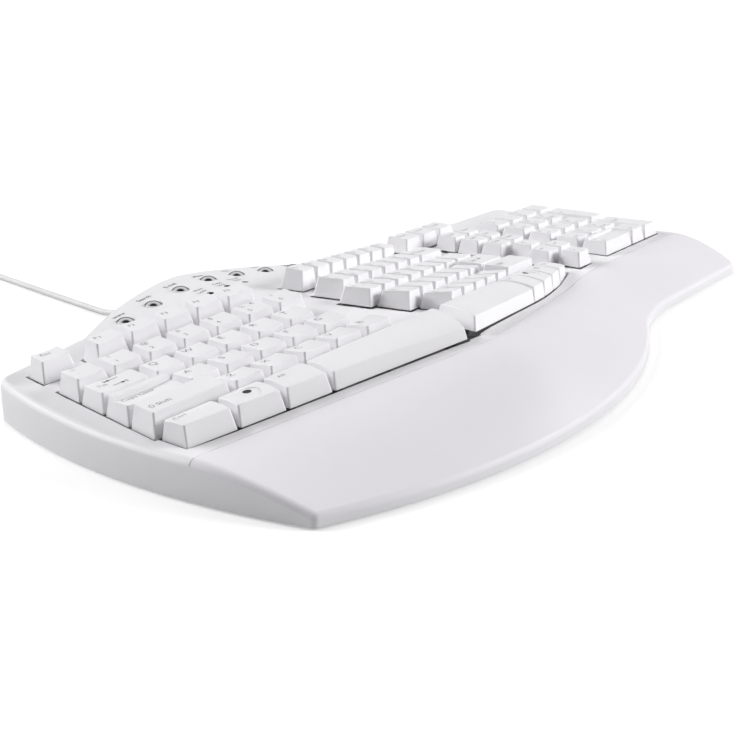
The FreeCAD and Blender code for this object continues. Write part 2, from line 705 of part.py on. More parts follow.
def cell_union(cells):
    """Plan faces that cover all the given cells."""
    faces = [Part.Face(Part.makePolygon(cell + cell[:1])) for cell in cells]
    return fused(faces).Faces


def grown(faces, margin, low, high):
    """Blocks over plan faces grown by a margin, from one level to another."""
    blocks = []
    for face in faces:
        area = face.makeOffset2D(margin) if margin else face.copy()
        solid = area.extrude(V(0, 0, high - low))
        solid.translate(V(0, 0, low))
        blocks.append(solid)
    return fused(blocks)


def keys_of(*groups):
    """Every key that stands in these groups."""
    return [key for keys in KEYS.values() for key in keys if key.group in groups]


def in_frame(points, group, home):
    """Points of one group seen from another with the same tilt."""
    shift = group.placement.Base - home.placement.Base
    return [point + V(shift.x, shift.y, 0) for point in points]


def placed(shape, placement):
    moved = shape.copy()
    moved.Placement = placement.multiply(shape.Placement)
    return moved


SPLIT_FILL = LEFT.outline(((8.1, -4.42), (8.72, -4.36), (8.84, -3.0), (8.3, -3.0)))
left_cells = [key.cell for key in keys_of(LEFT)]
right_cells = [key.cell for key in keys_of(RIGHT)]
pad_cells = [key.cell for key in keys_of(PAD)]
edit_cells = [in_frame(key.cell, EDIT, PAD) for key in keys_of(EDIT)]
print_cells = [in_frame(key.cell, PRINT, PAD) for key in keys_of(PRINT)]

openings = []
for home, cells in ((LEFT, left_cells + [SPLIT_FILL]), (RIGHT, right_cells), (PAD, pad_cells),
                    (PAD, edit_cells), (PAD, print_cells)):
    solid = grown(cell_union(cells), S.opening_gap, -S.opening_depth, ABOVE_ALL / 2)
    openings.append(placed(solid, home.placement))


class Stack:
    """Key frame, rubber sheet, membrane and backing plate of one field."""

    def __init__(self, home, groups, drop, extra, posts):
        self.home = home
        self.keys = [key for key in keys_of(*groups)]
        cells = [in_frame(key.cell, key.group, home) for key in self.keys if key.kind != drop]
        self.area = cell_union(cells + extra)
        self.posts = posts

    def stems(self):
        places = []
        for key in self.keys:
            places += in_frame(stem_places(key), key.group, self.home)
        return places

    def domes(self):
        return [in_frame([stem_places(key)[0]], key.group, self.home)[0] for key in self.keys]

    def place(self, shape):
        return placed(shape, self.home.placement)

    def frame(self):
        """Plate with a sleeve for each stem and a rim down to the backing plate."""
        plate = grown(self.area, S.frame_margin, PLATE_LOW, PLATE_TOP)
        rim = grown(self.area, S.frame_margin, MEMBRANE_LOW, PLATE_LOW)
        rim = rim.cut(grown(self.area, S.frame_margin - S.rim_wall, MEMBRANE_LOW, PLATE_LOW))
        hole_wide = S.stem_wide + 2 * S.stem_slip
        hole_deep = S.stem_deep + 2 * S.stem_slip
        wall = 2 * S.sleeve_wall
        top = PLATE_TOP + S.sleeve_rise
        sleeves = [block(hole_wide + wall, hole_deep + wall, PLATE_TOP, top, p) for p in self.stems()]
        holes = [block(hole_wide, hole_deep, PLATE_LOW - 1, top + 1, p) for p in self.stems()]
        whole = plate.multiFuse(sleeves + [rim])
        return self.place(whole.cut(Part.makeCompound(holes)))

    def sheet_area(self, low, high):
        margin = S.frame_margin - S.rim_wall - S.rim_slip
        return grown(self.area, margin, low, high)

    def rubber(self):
        """Rubber sheet with a hollow dome below each stem."""
        base = self.sheet_area(SHEET_LOW, SHEET_TOP)
        outer, inner = [], []
        for place in self.domes():
            foot = place + V(0, 0, SHEET_TOP)
            outer.append(Part.makeCone(S.dome_wide / 2, S.dome_crown / 2, S.dome_high, foot))
            low = place + V(0, 0, SHEET_LOW)
            high = S.dome_high + S.sheet_thick - S.dome_wall
            wide = S.dome_wide / 2 - S.dome_wall
            inner.append(Part.makeCone(wide, S.dome_crown / 2 - S.dome_wall, high, low))
        whole = base.multiFuse(outer)
        return self.place(whole.cut(Part.makeCompound(inner)))

    def membrane(self):
        return self.place(self.sheet_area(MEMBRANE_LOW, SHEET_LOW))

    def plate(self):
        return self.place(grown(self.area, S.frame_margin, STACK_LOW, MEMBRANE_LOW))

    def seats(self):
        """Posts from the floor that end on the backing plate's underside."""
        over = Part.makeBox(600, 400, 100, V(-300, -200, STACK_LOW))
        over = self.place(over)
        posts = []
        for place in self.posts:
            foot = self.home.placement.multVec(V(place[0], place[1], STACK_LOW))
            high = foot.z - S.foot_lift + 4
            posts.append(Part.makeCylinder(S.post_wide / 2, high, V(foot.x, foot.y, S.foot_lift)))
        return [post.cut(over) for post in posts]


LEFT_SUPPORT = [
    LEFT.outline(((4.12, -4.2), (7.7, -4.3), (7.7, -3.0), (4.12, -3.0))),
    LEFT.outline(((0.1, 0.9), (6.4, 0.9), (6.4, 1.7), (0.1, 1.7))),
    LEFT.outline(((0.9, 1.6), (1.6, 1.6), (1.6, 2.4), (0.9, 2.4))),
]
RIGHT_SUPPORT = [
    RIGHT.outline(((4.57, -4.3), (8.9, -4.3), (8.9, -3.0), (4.57, -3.0))),
    RIGHT.outline(((0.6, 0.9), (7.5, 0.9), (7.5, 1.5), (0.6, 1.5))),
]
PAD_SUPPORT = [
    [V(-20, -60, 0), V(5, -60, 0), V(5, 15, 0), V(-20, 15, 0)],
    [V(-42, 10, 0), V(-14, 10, 0), V(-14, 32, 0), V(-42, 32, 0)],
]
pad_posts = ((8, 8), (70, 8), (8, -70), (70, -70), (-38, 10), (-28, -65))
stacks = (
    Stack(LEFT, (LEFT,), "bar", LEFT_SUPPORT, ((8, 12), (118, 36), (10, -68), (135, -68))),
    Stack(RIGHT, (RIGHT,), "bar", RIGHT_SUPPORT, ((-8, 12), (-125, 36), (-20, -68), (-155, -68))),
    Stack(PAD, (PAD, EDIT, PRINT), "bar", PAD_SUPPORT, pad_posts),
)
for name, stack in zip(("left_key_frame", "right_key_frame", "pad_key_frame"), stacks):
    piece(name, stack.frame())
piece("rubber_dome_sheets", loose_solids([stack.rubber() for stack in stacks]))
piece("contact_membranes", loose_solids([stack.membrane() for stack in stacks]))
piece("backing_plates", loose_solids([stack.plate() for stack in stacks]))


# Dome buttons, lamps and the board below the arch.

BUTTON_PLACES = (
    (-137.0, 98.4), (-113.5, 101.8), (-90.5, 104.0), (-67.5, 104.8),
    (-44.5, 104.4), (-21.0, 103.2), (2.2, 101.0),
)
LAMP_PLACES = ((-87.7, 85.6), (-73.0, 86.6), (-58.3, 86.6))
SWITCH_TOP = S.board_top + S.switch_high + S.plunger_high


def under_deck(place):
    return surface_height(*place) - S.lid_thick


def button(place):
    """Chrome dome on a skirt, with the flange and the stem below the deck."""
    x, y = place
    top = surface_height(x, y) + S.button_shoulder
    radius = S.button_wide / 2
    flange_top = under_deck(place) - S.flange_gap
    stem_low = SWITCH_TOP + S.button_travel + S.button_rest
    skirt = Part.makeCylinder(radius, top - flange_top, V(x, y, flange_top))
    flange_low = flange_top - S.flange_thick
    flange = Part.makeCylinder(radius + S.button_flange, S.flange_thick, V(x, y, flange_low))
    stem = Part.makeCylinder(S.button_stem / 2, flange_low - stem_low, V(x, y, stem_low))
    ball_radius = (radius ** 2 + S.button_crown ** 2) / (2 * S.button_crown)
    ball = Part.makeSphere(ball_radius, V(x, y, top + S.button_crown - ball_radius))
    crown = ball.common(Part.makeCylinder(radius, S.button_crown + 1, V(x, y, top)))
    return fused([skirt, crown, flange, stem])


media = piece("media_buttons", Part.makeCompound([button(place) for place in BUTTON_PLACES]))


def switch(place):
    """Push switch on the board, below a dome button."""
    body = block(S.switch_wide, S.switch_wide, S.board_top, S.board_top + S.switch_high, V(*place, 0))
    low = V(place[0], place[1], S.board_top + S.switch_high)
    return body.fuse(Part.makeCylinder(S.plunger_wide / 2, S.plunger_high, low))


piece("media_switches", Part.makeCompound([switch(place) for place in BUTTON_PLACES]))

lamps, windows = [], []
for place in LAMP_PLACES:
    top = under_deck(place) - S.led_gap
    lamp_low = V(place[0], place[1], top - S.led_high)
    leg_high = top - S.led_high - S.board_top
    parts = [Part.makeCylinder(S.led_wide / 2, S.led_high - S.led_wide / 2, lamp_low)]
    parts.append(Part.makeSphere(S.led_wide / 2, V(place[0], place[1], top - S.led_wide / 2)))
    for side in (-1, 1):
        spot = V(place[0] + side * S.led_leg_pitch / 2, place[1], 0)
        parts.append(block(S.led_leg, S.led_leg, S.board_top, S.board_top + leg_high, spot))
    lamps.append(fused(parts))
    column = Part.makeCylinder(S.lamp_wide / 2, ABOVE_ALL, V(place[0], place[1], 0))
    windows.append(column)
piece("indicator_leds", Part.makeCompound(lamps))

BOARD_LOW = S.board_top - S.board_thick
back_strip = Part.makeBox(170, 30, S.board_thick, V(-152, 90, BOARD_LOW))
lamp_strip = Part.makeBox(62, 30, S.board_thick, V(-103, 79, BOARD_LOW))
inside = outline_block(S.wall_thick + S.board_slip, BOARD_LOW - 1, S.board_top + 1)
board = fused([back_strip, lamp_strip]).common(inside)
piece("controller_board", board)
BOARD_POSTS = ((-146, 94), (-98, 94), (-38, 94), (12, 94))


# Feet, screws and their places on the floor.

FOOT_PLACES = ((-212, -66), (-75, -108), (60, -72), (212, -60), (-206, 72), (-20, 96), (215, 88))
SCREW_PLACES = ((-155, -95), (0, -95), (200, -58), (-75, 56), (32, 94), (212, 76))
FLIP_PLACES = (("left_flip_foot", V(-156, 62, 0)), ("right_flip_foot", V(188, 62, 0)))
FOOT_TOP = S.foot_lift + S.foot_sink

feet = []
for i, place in enumerate(FOOT_PLACES):
    sizes = {"Radius": "Sizes.foot_wide / 2", "Height": "Sizes.foot_lift + Sizes.foot_sink"}
    feet.append(primitive("Part::Cylinder", "foot_%d" % (i + 1), sizes, V(*place, 0)))
joined("rubber_feet", feet)

BOSS_TOP = FLOOR_TOP + S.tower_base
HEAD_LOW = S.foot_lift + S.head_sink
screws = []
for i, place in enumerate(SCREW_PLACES):
    name = "screw_%d" % (i + 1)
    head = primitive("Part::Cylinder", name + "_head",
                     {"Radius": "Sizes.head_wide / 2", "Height": "Sizes.head_high"},
                     V(*place, HEAD_LOW))
    reach = "Sizes.floor_thick + Sizes.tower_base + Sizes.screw_reach - Sizes.head_sink"
    shank = primitive("Part::Cylinder", name + "_shank",
                      {"Radius": "Sizes.screw_wide / 2", "Height": reach},
                      V(*place, HEAD_LOW))
    screw = doc.addObject("Part::MultiFuse", name)
    screw.Shapes = [head, shank]
    screws.append(screw)
joined("case_screws", screws)

PIN_Z = S.foot_lift + S.flip_sink + S.flip_thick / 2
for name, place in FLIP_PLACES:
    low = S.foot_lift + S.flip_sink
    board_sizes = {
        "Length": "Sizes.flip_long",
        "Width": "Sizes.flip_deep",
        "Height": "Sizes.flip_thick",
    }
    base = V(place.x - S.flip_long / 2, place.y - S.flip_deep, low)
    board = primitive("Part::Box", name + "_board", board_sizes, base)
    knuckle = primitive("Part::Cylinder", name + "_knuckle",
                        {"Radius": "Sizes.flip_thick / 2", "Height": "Sizes.flip_long"},
                        V(place.x - S.flip_long / 2, place.y, PIN_Z), Rotation(V(0, 1, 0), 90))
    pin_long = "Sizes.flip_long + 2 * (Sizes.flip_slip + Sizes.flip_pin_reach)"
    pin_start = place.x - S.flip_long / 2 - S.flip_slip - S.flip_pin_reach
    pin = primitive("Part::Cylinder", name + "_pin",
                    {"Radius": "Sizes.flip_pin / 2", "Height": pin_long},
                    V(pin_start, place.y, PIN_Z), Rotation(V(0, 1, 0), 90))
    flip = doc.addObject("Part::MultiFuse", name)
    flip.Label = name
    flip.Shapes = [board, knuckle, pin]


def flip_pocket(place, wall, ceiling):
    """Room of a folded flip foot, or the walls round it."""
    gap = S.flip_slip + wall
    behind = S.flip_thick / 2 + gap
    corner = V(place.x - S.flip_long / 2 - gap, place.y - S.flip_deep - gap, S.foot_lift)
    high = S.flip_sink + S.flip_thick + S.flip_slip + ceiling
    return Part.makeBox(S.flip_long + 2 * gap, S.flip_deep + gap + behind, high, corner)


def pin_bore(place):
    """Blind bore for both ends of a flip foot's hinge pin."""
    reach = S.flip_slip + S.flip_pin_reach + S.flip_pin_slip
    start = V(place.x - S.flip_long / 2 - reach, place.y, PIN_Z)
    return Part.makeCylinder(S.flip_pin / 2 + S.flip_pin_slip, S.flip_long + 2 * reach, start, V(1, 0, 0))


# Lower case.

def pillar(wide, low, high, place):
    return Part.makeCylinder(wide / 2, high - low, V(place[0], place[1], low))


def case_body():
    """The whole case as one block, with the rounded rim of its deck."""
    plain = outline_block(0, S.foot_lift, ABOVE_ALL - 5)
    plain = plain.cut(surface_face(0.0).extrude(V(0, 0, ABOVE_ALL)))
    curved = [face for face in plain.Faces if isinstance(face.Surface, Part.BSplineSurface)]
    top = max(curved, key=lambda face: face.Area)
    return plain.makeFillet(S.rim_round, top.OuterWire.Edges)


body = case_body()
room = outline_block(S.wall_thick, FLOOR_TOP, ABOVE_ALL - 4)
tray = body.cut([room, ABOVE_LID])
additions = [pillar(S.boss_wide, S.foot_lift, BOSS_TOP, place) for place in SCREW_PLACES]
additions += [pillar(S.post_wide, S.foot_lift, BOARD_LOW, place) for place in BOARD_POSTS]
additions += [flip_pocket(place, S.flip_wall, S.flip_wall) for name, place in FLIP_PLACES]
for stack in stacks:
    additions += stack.seats()
removals = [pillar(S.foot_wide, 0, FOOT_TOP, place) for place in FOOT_PLACES]
removals += [flip_pocket(place, 0, 0) for name, place in FLIP_PLACES]
removals += [pin_bore(place) for name, place in FLIP_PLACES]
head_hole = S.head_wide + S.head_slip
shank_hole = S.screw_wide + S.screw_slip
removals += [pillar(head_hole, 0, HEAD_LOW + S.head_high, place) for place in SCREW_PLACES]
removals += [pillar(shank_hole, 0, BOSS_TOP + 1, place) for place in SCREW_PLACES]
exit_point = V(S.arch_centre_x, S.arch_back_y, S.cord_exit_z)
removals.append(Part.makeCylinder(S.relief_root / 2, 20, exit_point - V(0, 15, 0), V(0, 1, 0)))
bottom = tray.multiFuse(additions).cut(Part.makeCompound(removals))
piece("bottom_case", bottom)


# Deck and palm rest: one skin, parted along the seam.

def seam_edge(shift):
    """The seam as one curve from side to side, moved to front or back."""
    points = []
    for step in range(-26, 27):
        x = step * 10.0
        points.append(V(x, seam_line(x) + shift, 0))
    curve = Part.BSplineCurve()
    curve.interpolate(points)
    return curve.toShape(), points[0], points[-1]


def region(shift, far_y):
    """Tall block on one side of the seam."""
    edge, start, end = seam_edge(shift)
    corner_a = V(end.x, far_y, 0)
    corner_b = V(start.x, far_y, 0)
    lines = [
        Part.LineSegment(end, corner_a).toShape(),
        Part.LineSegment(corner_a, corner_b).toShape(),
        Part.LineSegment(corner_b, start).toShape(),
    ]
    return Part.Face(Part.Wire([edge] + lines)).extrude(V(0, 0, ABOVE_ALL))


skin = body.common(ABOVE_LID)
deck = skin.common(region(S.seam_gap / 2, 200.0))
palm = skin.common(region(-S.seam_gap / 2, -200.0))


def towers(front):
    """Screw towers below one of the lids, up into its underside."""
    places = [p for p in SCREW_PLACES if (p[1] < seam_line(p[0])) == front]
    columns = [pillar(S.tower_wide, BOSS_TOP, ABOVE_ALL - 20, place) for place in places]
    bores = [pillar(shank_hole, BOSS_TOP - 1, BOSS_TOP + S.screw_reach + 1, place) for place in places]
    return [c.cut([ABOVE_MIDDLE, bore]) for c, bore in zip(columns, bores)]


button_hole = S.button_wide + 2 * S.button_slip
holes = [pillar(button_hole, 10, ABOVE_ALL, place) for place in BUTTON_PLACES]
holes += [pillar(S.lamp_wide, 10, ABOVE_ALL, place) for place in LAMP_PLACES]
lamp_windows = [window.common(deck) for window in windows]
piece("led_windows", Part.makeCompound([w.Solids[0] for w in lamp_windows]))
deck = deck.cut(openings + [Part.makeCompound(holes)])
piece("top_case", deck.multiFuse(towers(False)))
piece("palm_rest", palm.multiFuse(towers(True)))


# Strain relief, cord, coil, strap and plug.

inner_y = S.arch_back_y - S.wall_thick
relief = doc.addObject("Part::MultiFuse", "cord_strain_relief")
relief.Label = "cord_strain_relief"
backward = Rotation(V(1, 0, 0), -90)
flange_y = inner_y - S.relief_gap - S.relief_flange_thick
relief_root = primitive("Part::Cylinder", "relief_neck",
                        {"Radius": "Sizes.relief_root / 2",
                         "Height": "Sizes.wall_thick + Sizes.relief_gap"
                                   " + Sizes.relief_flange_thick / 2"},
                        V(S.arch_centre_x, flange_y + S.relief_flange_thick / 2, S.cord_exit_z),
                        backward)
relief_flange = primitive("Part::Cylinder", "relief_flange",
                          {"Radius": "Sizes.relief_flange / 2",
                           "Height": "Sizes.relief_flange_thick"},
                          V(S.arch_centre_x, flange_y, S.cord_exit_z), backward)
relief_taper = primitive("Part::Cone", "relief_taper",
                         {"Radius1": "Sizes.relief_root / 2", "Radius2": "Sizes.relief_tip / 2",
                          "Height": "Sizes.relief_long"},
                         exit_point, backward)
relief.Shapes = [relief_root, relief_flange, relief_taper]


def tube(wire, start, ahead):
    """Round cord along a path."""
    ring = Part.Wire(Part.Circle(start, ahead, S.cord_wide / 2).toShape())
    return wire.makePipeShell([ring], True, False)


def bent_path(points):
    """Straight runs joined by tangent arcs, and the arcs' radii."""
    edges, radii = [], []
    last = points[0]
    for before, here, after in zip(points, points[1:], points[2:]):
        back = (before - here).normalize()
        onward = (after - here).normalize()
        half_turn = (math.pi - math.acos(max(-1.0, min(1.0, back.dot(onward))))) / 2
        shorter = min((before - here).Length, (after - here).Length)
        reach = 0.45 * shorter
        radius = reach / math.tan(half_turn)
        start = here + back * reach
        end = here + onward * reach
        bulge = (radius / math.cos(half_turn)) - radius
        middle = here + (back + onward).normalize() * bulge
        edges.append(Part.LineSegment(last, start).toShape())
        edges.append(Part.Arc(start, middle, end).toShape())
        radii.append(round(radius, 1))
        last = end
    edges.append(Part.LineSegment(last, points[-1]).toShape())
    return Part.Wire(edges), radii


def checked_tube(name, points):
    """A cord stretch; its volume is compared with its section and length."""
    path, radii = bent_path(points)
    solid = tube(path, points[0], points[1] - points[0])
    ideal = math.pi * (S.cord_wide / 2) ** 2 * path.Length
    print(name, "radii", radii, "length", round(path.Length, 1),
          "volume share", round(solid.Volume / ideal, 4))
    return solid, path.Length


def biarc(start, ahead_a, end, ahead_b):
    """Two arcs that leave and arrive along the given directions."""
    between = end - start
    both = between.dot(ahead_a + ahead_b)
    spread = 2 * (1 - ahead_a.dot(ahead_b))
    arm = (math.sqrt(both ** 2 + spread * between.dot(between)) - both) / spread
    meet = (start + ahead_a * arm + end - ahead_b * arm) * 0.5
    edges = []
    for first, knee, second in ((start, start + ahead_a * arm, meet), (meet, end - ahead_b * arm, end)):
        chord_middle = (first + second) * 0.5
        high = (knee - chord_middle).Length
        half = math.atan2(high, (second - first).Length / 2)
        share = math.tan(half / 2) / math.tan(half)
        edges.append(Part.Arc(first, chord_middle + (knee - chord_middle) * share, second).toShape())
    return edges


COIL_LAYERS = 4
rate = S.coil_pitch / (2 * math.pi)
span = S.coil_pitch * S.coil_turns
coil_out = S.coil_middle_radius + span / 2
coil_low = S.tie_thick + S.tie_slip + S.cord_wide / 2
coil_centre = V(S.coil_start_x - coil_out, S.coil_y, 0)
layer_angle = 2 * math.pi * S.coil_turns
phases = []
for layer in range(COIL_LAYERS):
    phases.append(("flat", layer))
    if layer + 1 < COIL_LAYERS:
        phases.append(("climb", layer))


def coil_state(angle):
    """Radius and height of the coil's centre line, and their slopes."""
    radius, inward = coil_out, -1
    for kind, layer in phases:
        height = coil_low + layer * S.coil_pitch
        length = layer_angle if kind == "flat" else math.pi
        if angle <= length + 1e-9:
            if kind == "flat":
                return radius + inward * rate * angle, inward * rate, height, 0.0
            share = angle / math.pi
            swing = inward * rate * (angle - angle ** 2 / math.pi)
            lift = 2 * share ** 2 if share < 0.5 else 1 - 2 * (1 - share) ** 2
            steep = 4 * min(share, 1 - share) / math.pi
            slope = inward * rate * (1 - 2 * share)
            return radius + swing, slope, height + lift * S.coil_pitch, steep * S.coil_pitch
        angle -= length
        if kind == "flat":
            radius += inward * rate * length
        else:
            inward = -inward
    return radius, 0.0, height, 0.0


def coil_point(angle):
    """Place and direction of the coil's centre line."""
    radius, radius_slope, height, height_slope = coil_state(angle)
    outward = V(math.cos(angle), math.sin(angle), 0)
    around = V(-math.sin(angle), math.cos(angle), 0)
    place = coil_centre + outward * radius + V(0, 0, height)
    ahead = outward * radius_slope + around * radius + V(0, 0, height_slope)
    return place, ahead.normalize()


total_angle = COIL_LAYERS * layer_angle + (COIL_LAYERS - 1) * math.pi
quarters = round(total_angle / (math.pi / 2))
coil_edges = []
samples = []
for i in range(quarters):
    place_a, ahead_a = coil_point(i * total_angle / quarters)
    place_b, ahead_b = coil_point((i + 1) * total_angle / quarters)
    coil_edges += biarc(place_a, ahead_a, place_b, ahead_b)
first_place, first_ahead = coil_point(0.0)
last_place, last_ahead = coil_point(total_angle)
coil_start = first_place - first_ahead * S.cord_wide
coil_end = last_place + last_ahead * S.cord_wide
coil_edges.insert(0, Part.LineSegment(coil_start, first_place).toShape())
coil_edges.append(Part.LineSegment(last_place, coil_end).toShape())
coil_path = Part.Wire(coil_edges)
coil = tube(coil_path, coil_start, first_ahead)
piece("cord_coil", coil)

for edge in coil_edges:
    count = max(2, int(edge.Length / 1.5))
    samples += edge.discretize(Number=count + 1)[:-1]
least = 1e9
step_far = int(4 * S.cord_wide / 1.5)
for i, here in enumerate(samples):
    for there in samples[i + step_far:]:
        least = min(least, (here - there).Length)
print("coil turns", round(total_angle / (2 * math.pi), 2), "length", round(coil_path.Length, 1),
      "least gap", round(least - S.cord_wide, 2),
      "volume share", round(coil.Volume / (math.pi * (S.cord_wide / 2) ** 2 * coil_path.Length), 4))

rest_z = S.cord_wide / 2 + S.cord_lift
cord_start = exit_point + V(0, S.relief_long, 0)
cord_points = [
    cord_start,
    cord_start + V(0, 15, 0),
    V(-67.6, 181.0, rest_z),
    V(-63.6, 207.0, rest_z + 0.3),
    V(-57.0, 238.0, rest_z),
    V(-51.0, 273.0, rest_z + 0.3),
    V(-43.4, 309.0, rest_z),
    V(-40.2, 345.0, rest_z),
    V(coil_start.x, 377.0, coil_start.z),
    coil_start,
]
stretch, stretch_length = checked_tube("cord", cord_points)
grip_mid = S.grip_high / 2
drop_start = coil_end + last_ahead * 16
drop_end = V(drop_start.x, drop_start.y - 27, grip_mid)
tail_end = drop_end + V(0, -16, 0)
tail, tail_length = checked_tube("tail", [coil_end, drop_start, drop_end, tail_end])
piece("cord", Part.makeCompound([stretch, tail]))
print("cord length", round(stretch_length + coil_path.Length + tail_length, 1))

coil_in = coil_out - span - rate * math.pi / 4
strap_room_low = S.tie_thick
strap_room_high = coil_low + (COIL_LAYERS - 1) * S.coil_pitch + S.cord_wide / 2 + S.tie_slip
strap_in = coil_in - S.cord_wide / 2 - S.tie_side_slip
strap_out = coil_out + S.cord_wide / 2 + rate * math.pi / 4 + S.tie_side_slip
strap_low = V(coil_centre.x - S.tie_wide / 2, coil_centre.y + strap_in, strap_room_low)
strap_room = Part.makeBox(S.tie_wide, strap_out - strap_in, strap_room_high - strap_room_low, strap_low)
strap_corner = strap_low - V(0, S.tie_thick, S.tie_thick)
strap = Part.makeBox(S.tie_wide, strap_out - strap_in + 2 * S.tie_thick,
                     strap_room_high - strap_room_low + 2 * S.tie_thick, strap_corner)
piece("cord_tie", strap.cut(strap_room))

grip_corner = V(tail_end.x - S.grip_wide / 2, tail_end.y - S.grip_long, 0)
grip_block = primitive("Part::Box", "grip_block",
                       {"Length": "Sizes.grip_wide", "Width": "Sizes.grip_long",
                        "Height": "Sizes.grip_high"}, grip_corner)
doc.recompute()
grip = doc.addObject("Part::Fillet", "usb_plug_grip")
grip.Label = "usb_plug_grip"
grip.Base = grip_block
long_edges = [
    number for number, edge in enumerate(grip_block.Shape.Edges, start=1)
    if edge.BoundBox.YLength > S.grip_long - 0.1
]
grip.Edges = [(number, S.grip_round, S.grip_round) for number in long_edges]

shell_corner = V(tail_end.x - S.shell_wide / 2, grip_corner.y - S.shell_long,
                 grip_mid - S.shell_high / 2)
shell_box = primitive("Part::Box", "shell_box",
                      {"Length": "Sizes.shell_wide", "Width": "Sizes.shell_long",
                       "Height": "Sizes.shell_high"}, shell_corner)
shell_room = primitive("Part::Box", "shell_room",
                       {"Length": "Sizes.shell_wide - 2 * Sizes.shell_wall",
                        "Width": "Sizes.shell_long",
                        "Height": "Sizes.shell_high - 2 * Sizes.shell_wall"},
                       shell_corner + V(S.shell_wall, -1, S.shell_wall))
shell_tube = doc.addObject("Part::Cut", "shell_tube")
shell_tube.Base = shell_box
shell_tube.Tool = shell_room
tongue = primitive("Part::Box", "tongue",
                   {"Length": "Sizes.shell_wide - 2 * Sizes.shell_wall",
                    "Width": "Sizes.shell_long - 1", "Height": "Sizes.tongue_thick"},
                   shell_corner + V(S.shell_wall, 1, S.shell_wall))
plug_shell = doc.addObject("Part::MultiFuse", "usb_plug_shell")
plug_shell.Label = "usb_plug_shell"
plug_shell.Shapes = [shell_tube, tongue]


# Nodes in the order of the record.
NODES = [
    "bottom_case", "top_case", "palm_rest", "left_key_frame", "right_key_frame", "pad_key_frame",
    "rubber_dome_sheets", "contact_membranes", "backing_plates", "controller_board",
    "media_switches", "indicator_leds", "led_windows", "case_screws", "rubber_feet",
    "left_flip_foot", "right_flip_foot", "cord_strain_relief", "cord", "cord_coil", "cord_tie",
    "usb_plug_grip", "usb_plug_shell", "media_buttons",
] + list(KEYS)

doc.recompute()
for item in doc.Objects:
    if "Invalid" in item.State or "Error" in item.State:
        raise RuntimeError("%s did not build: %s" % (item.Name, item.State))
for node in NODES:
    shape = doc.getObject(node).Shape
    if shape.isNull() or not shape.isValid():
        raise RuntimeError("%s has no valid shape" % node)
os.makedirs("parts", exist_ok=True)
for node in NODES:
    doc.getObject(node).Shape.exportStep("parts/%s.step" % node)
print(len(NODES), "pieces written")
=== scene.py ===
import json
import math
import bmesh
import bpy
from mathutils import Matrix, Vector
from mathutils.bvhtree import BVHTree


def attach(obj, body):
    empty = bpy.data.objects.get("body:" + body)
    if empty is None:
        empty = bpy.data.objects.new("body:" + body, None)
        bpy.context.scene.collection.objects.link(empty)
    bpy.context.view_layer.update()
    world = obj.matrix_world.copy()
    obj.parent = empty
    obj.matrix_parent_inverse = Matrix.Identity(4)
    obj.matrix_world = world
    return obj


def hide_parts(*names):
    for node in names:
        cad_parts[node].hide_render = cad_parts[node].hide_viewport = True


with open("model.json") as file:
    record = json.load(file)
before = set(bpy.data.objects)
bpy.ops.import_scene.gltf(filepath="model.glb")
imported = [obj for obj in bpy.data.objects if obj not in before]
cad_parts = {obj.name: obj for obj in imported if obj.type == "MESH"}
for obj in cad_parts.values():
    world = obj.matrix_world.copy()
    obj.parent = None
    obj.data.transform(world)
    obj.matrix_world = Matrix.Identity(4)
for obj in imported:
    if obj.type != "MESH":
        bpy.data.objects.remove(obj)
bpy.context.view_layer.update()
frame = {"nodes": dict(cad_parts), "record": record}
scene = bpy.context.scene
MM = 0.001


# Camera at the photograph's viewing angle.

CAMERA_PLACE = (-0.60164, -0.375535, 0.220177)
CAMERA_HEADING = -54.919
CAMERA_PITCH = -18.369
CAMERA_ROLL = 0.209
CAMERA_LENS = 66.608


def turn(angle, axis):
    """Rotation by degrees about an axis."""
    return Matrix.Rotation(math.radians(angle), 3, axis)


eye = bpy.data.cameras.new("camera")
eye.sensor_width = 36.0
eye.lens = CAMERA_LENS
camera = bpy.data.objects.new("camera", eye)
scene.collection.objects.link(camera)
camera_turn = turn(CAMERA_HEADING, "Z") @ turn(CAMERA_PITCH, "X") @ turn(CAMERA_ROLL, "Y")
level_turn = camera_turn @ turn(90, "X")
camera.matrix_world = Matrix.Translation(Vector(CAMERA_PLACE)) @ level_turn.to_4x4()
scene.camera = camera


# The cord: out of the arch, back over the desk, and put away in a tied coil.

CORD_WIDE = 3.6
COIL_PITCH = 4.2
COIL_TURNS = 2.5
COIL_LAYERS = 4
COIL_OUTER = 26.05
COIL_LOW = 3.0
COIL_CENTRE = (-68.05, 399.0)
STEPS_PER_TURN = 16
TAIL_LEVEL = 16.0
GRIP_START = 46.6
GRIP_IN = 62.6
GRIP_HEIGHT = 4.0

CORD_ROUTE = [
    (-68.0, 144.0, 9.0), (-68.0, 159.0, 9.0), (-67.6, 181.0, 1.9), (-63.6, 207.0, 2.2),
    (-57.0, 238.0, 1.9), (-51.0, 273.0, 2.2), (-43.4, 309.0, 1.9), (-40.2, 345.0, 1.9),
    (-42.0, 377.0, 3.0),
]


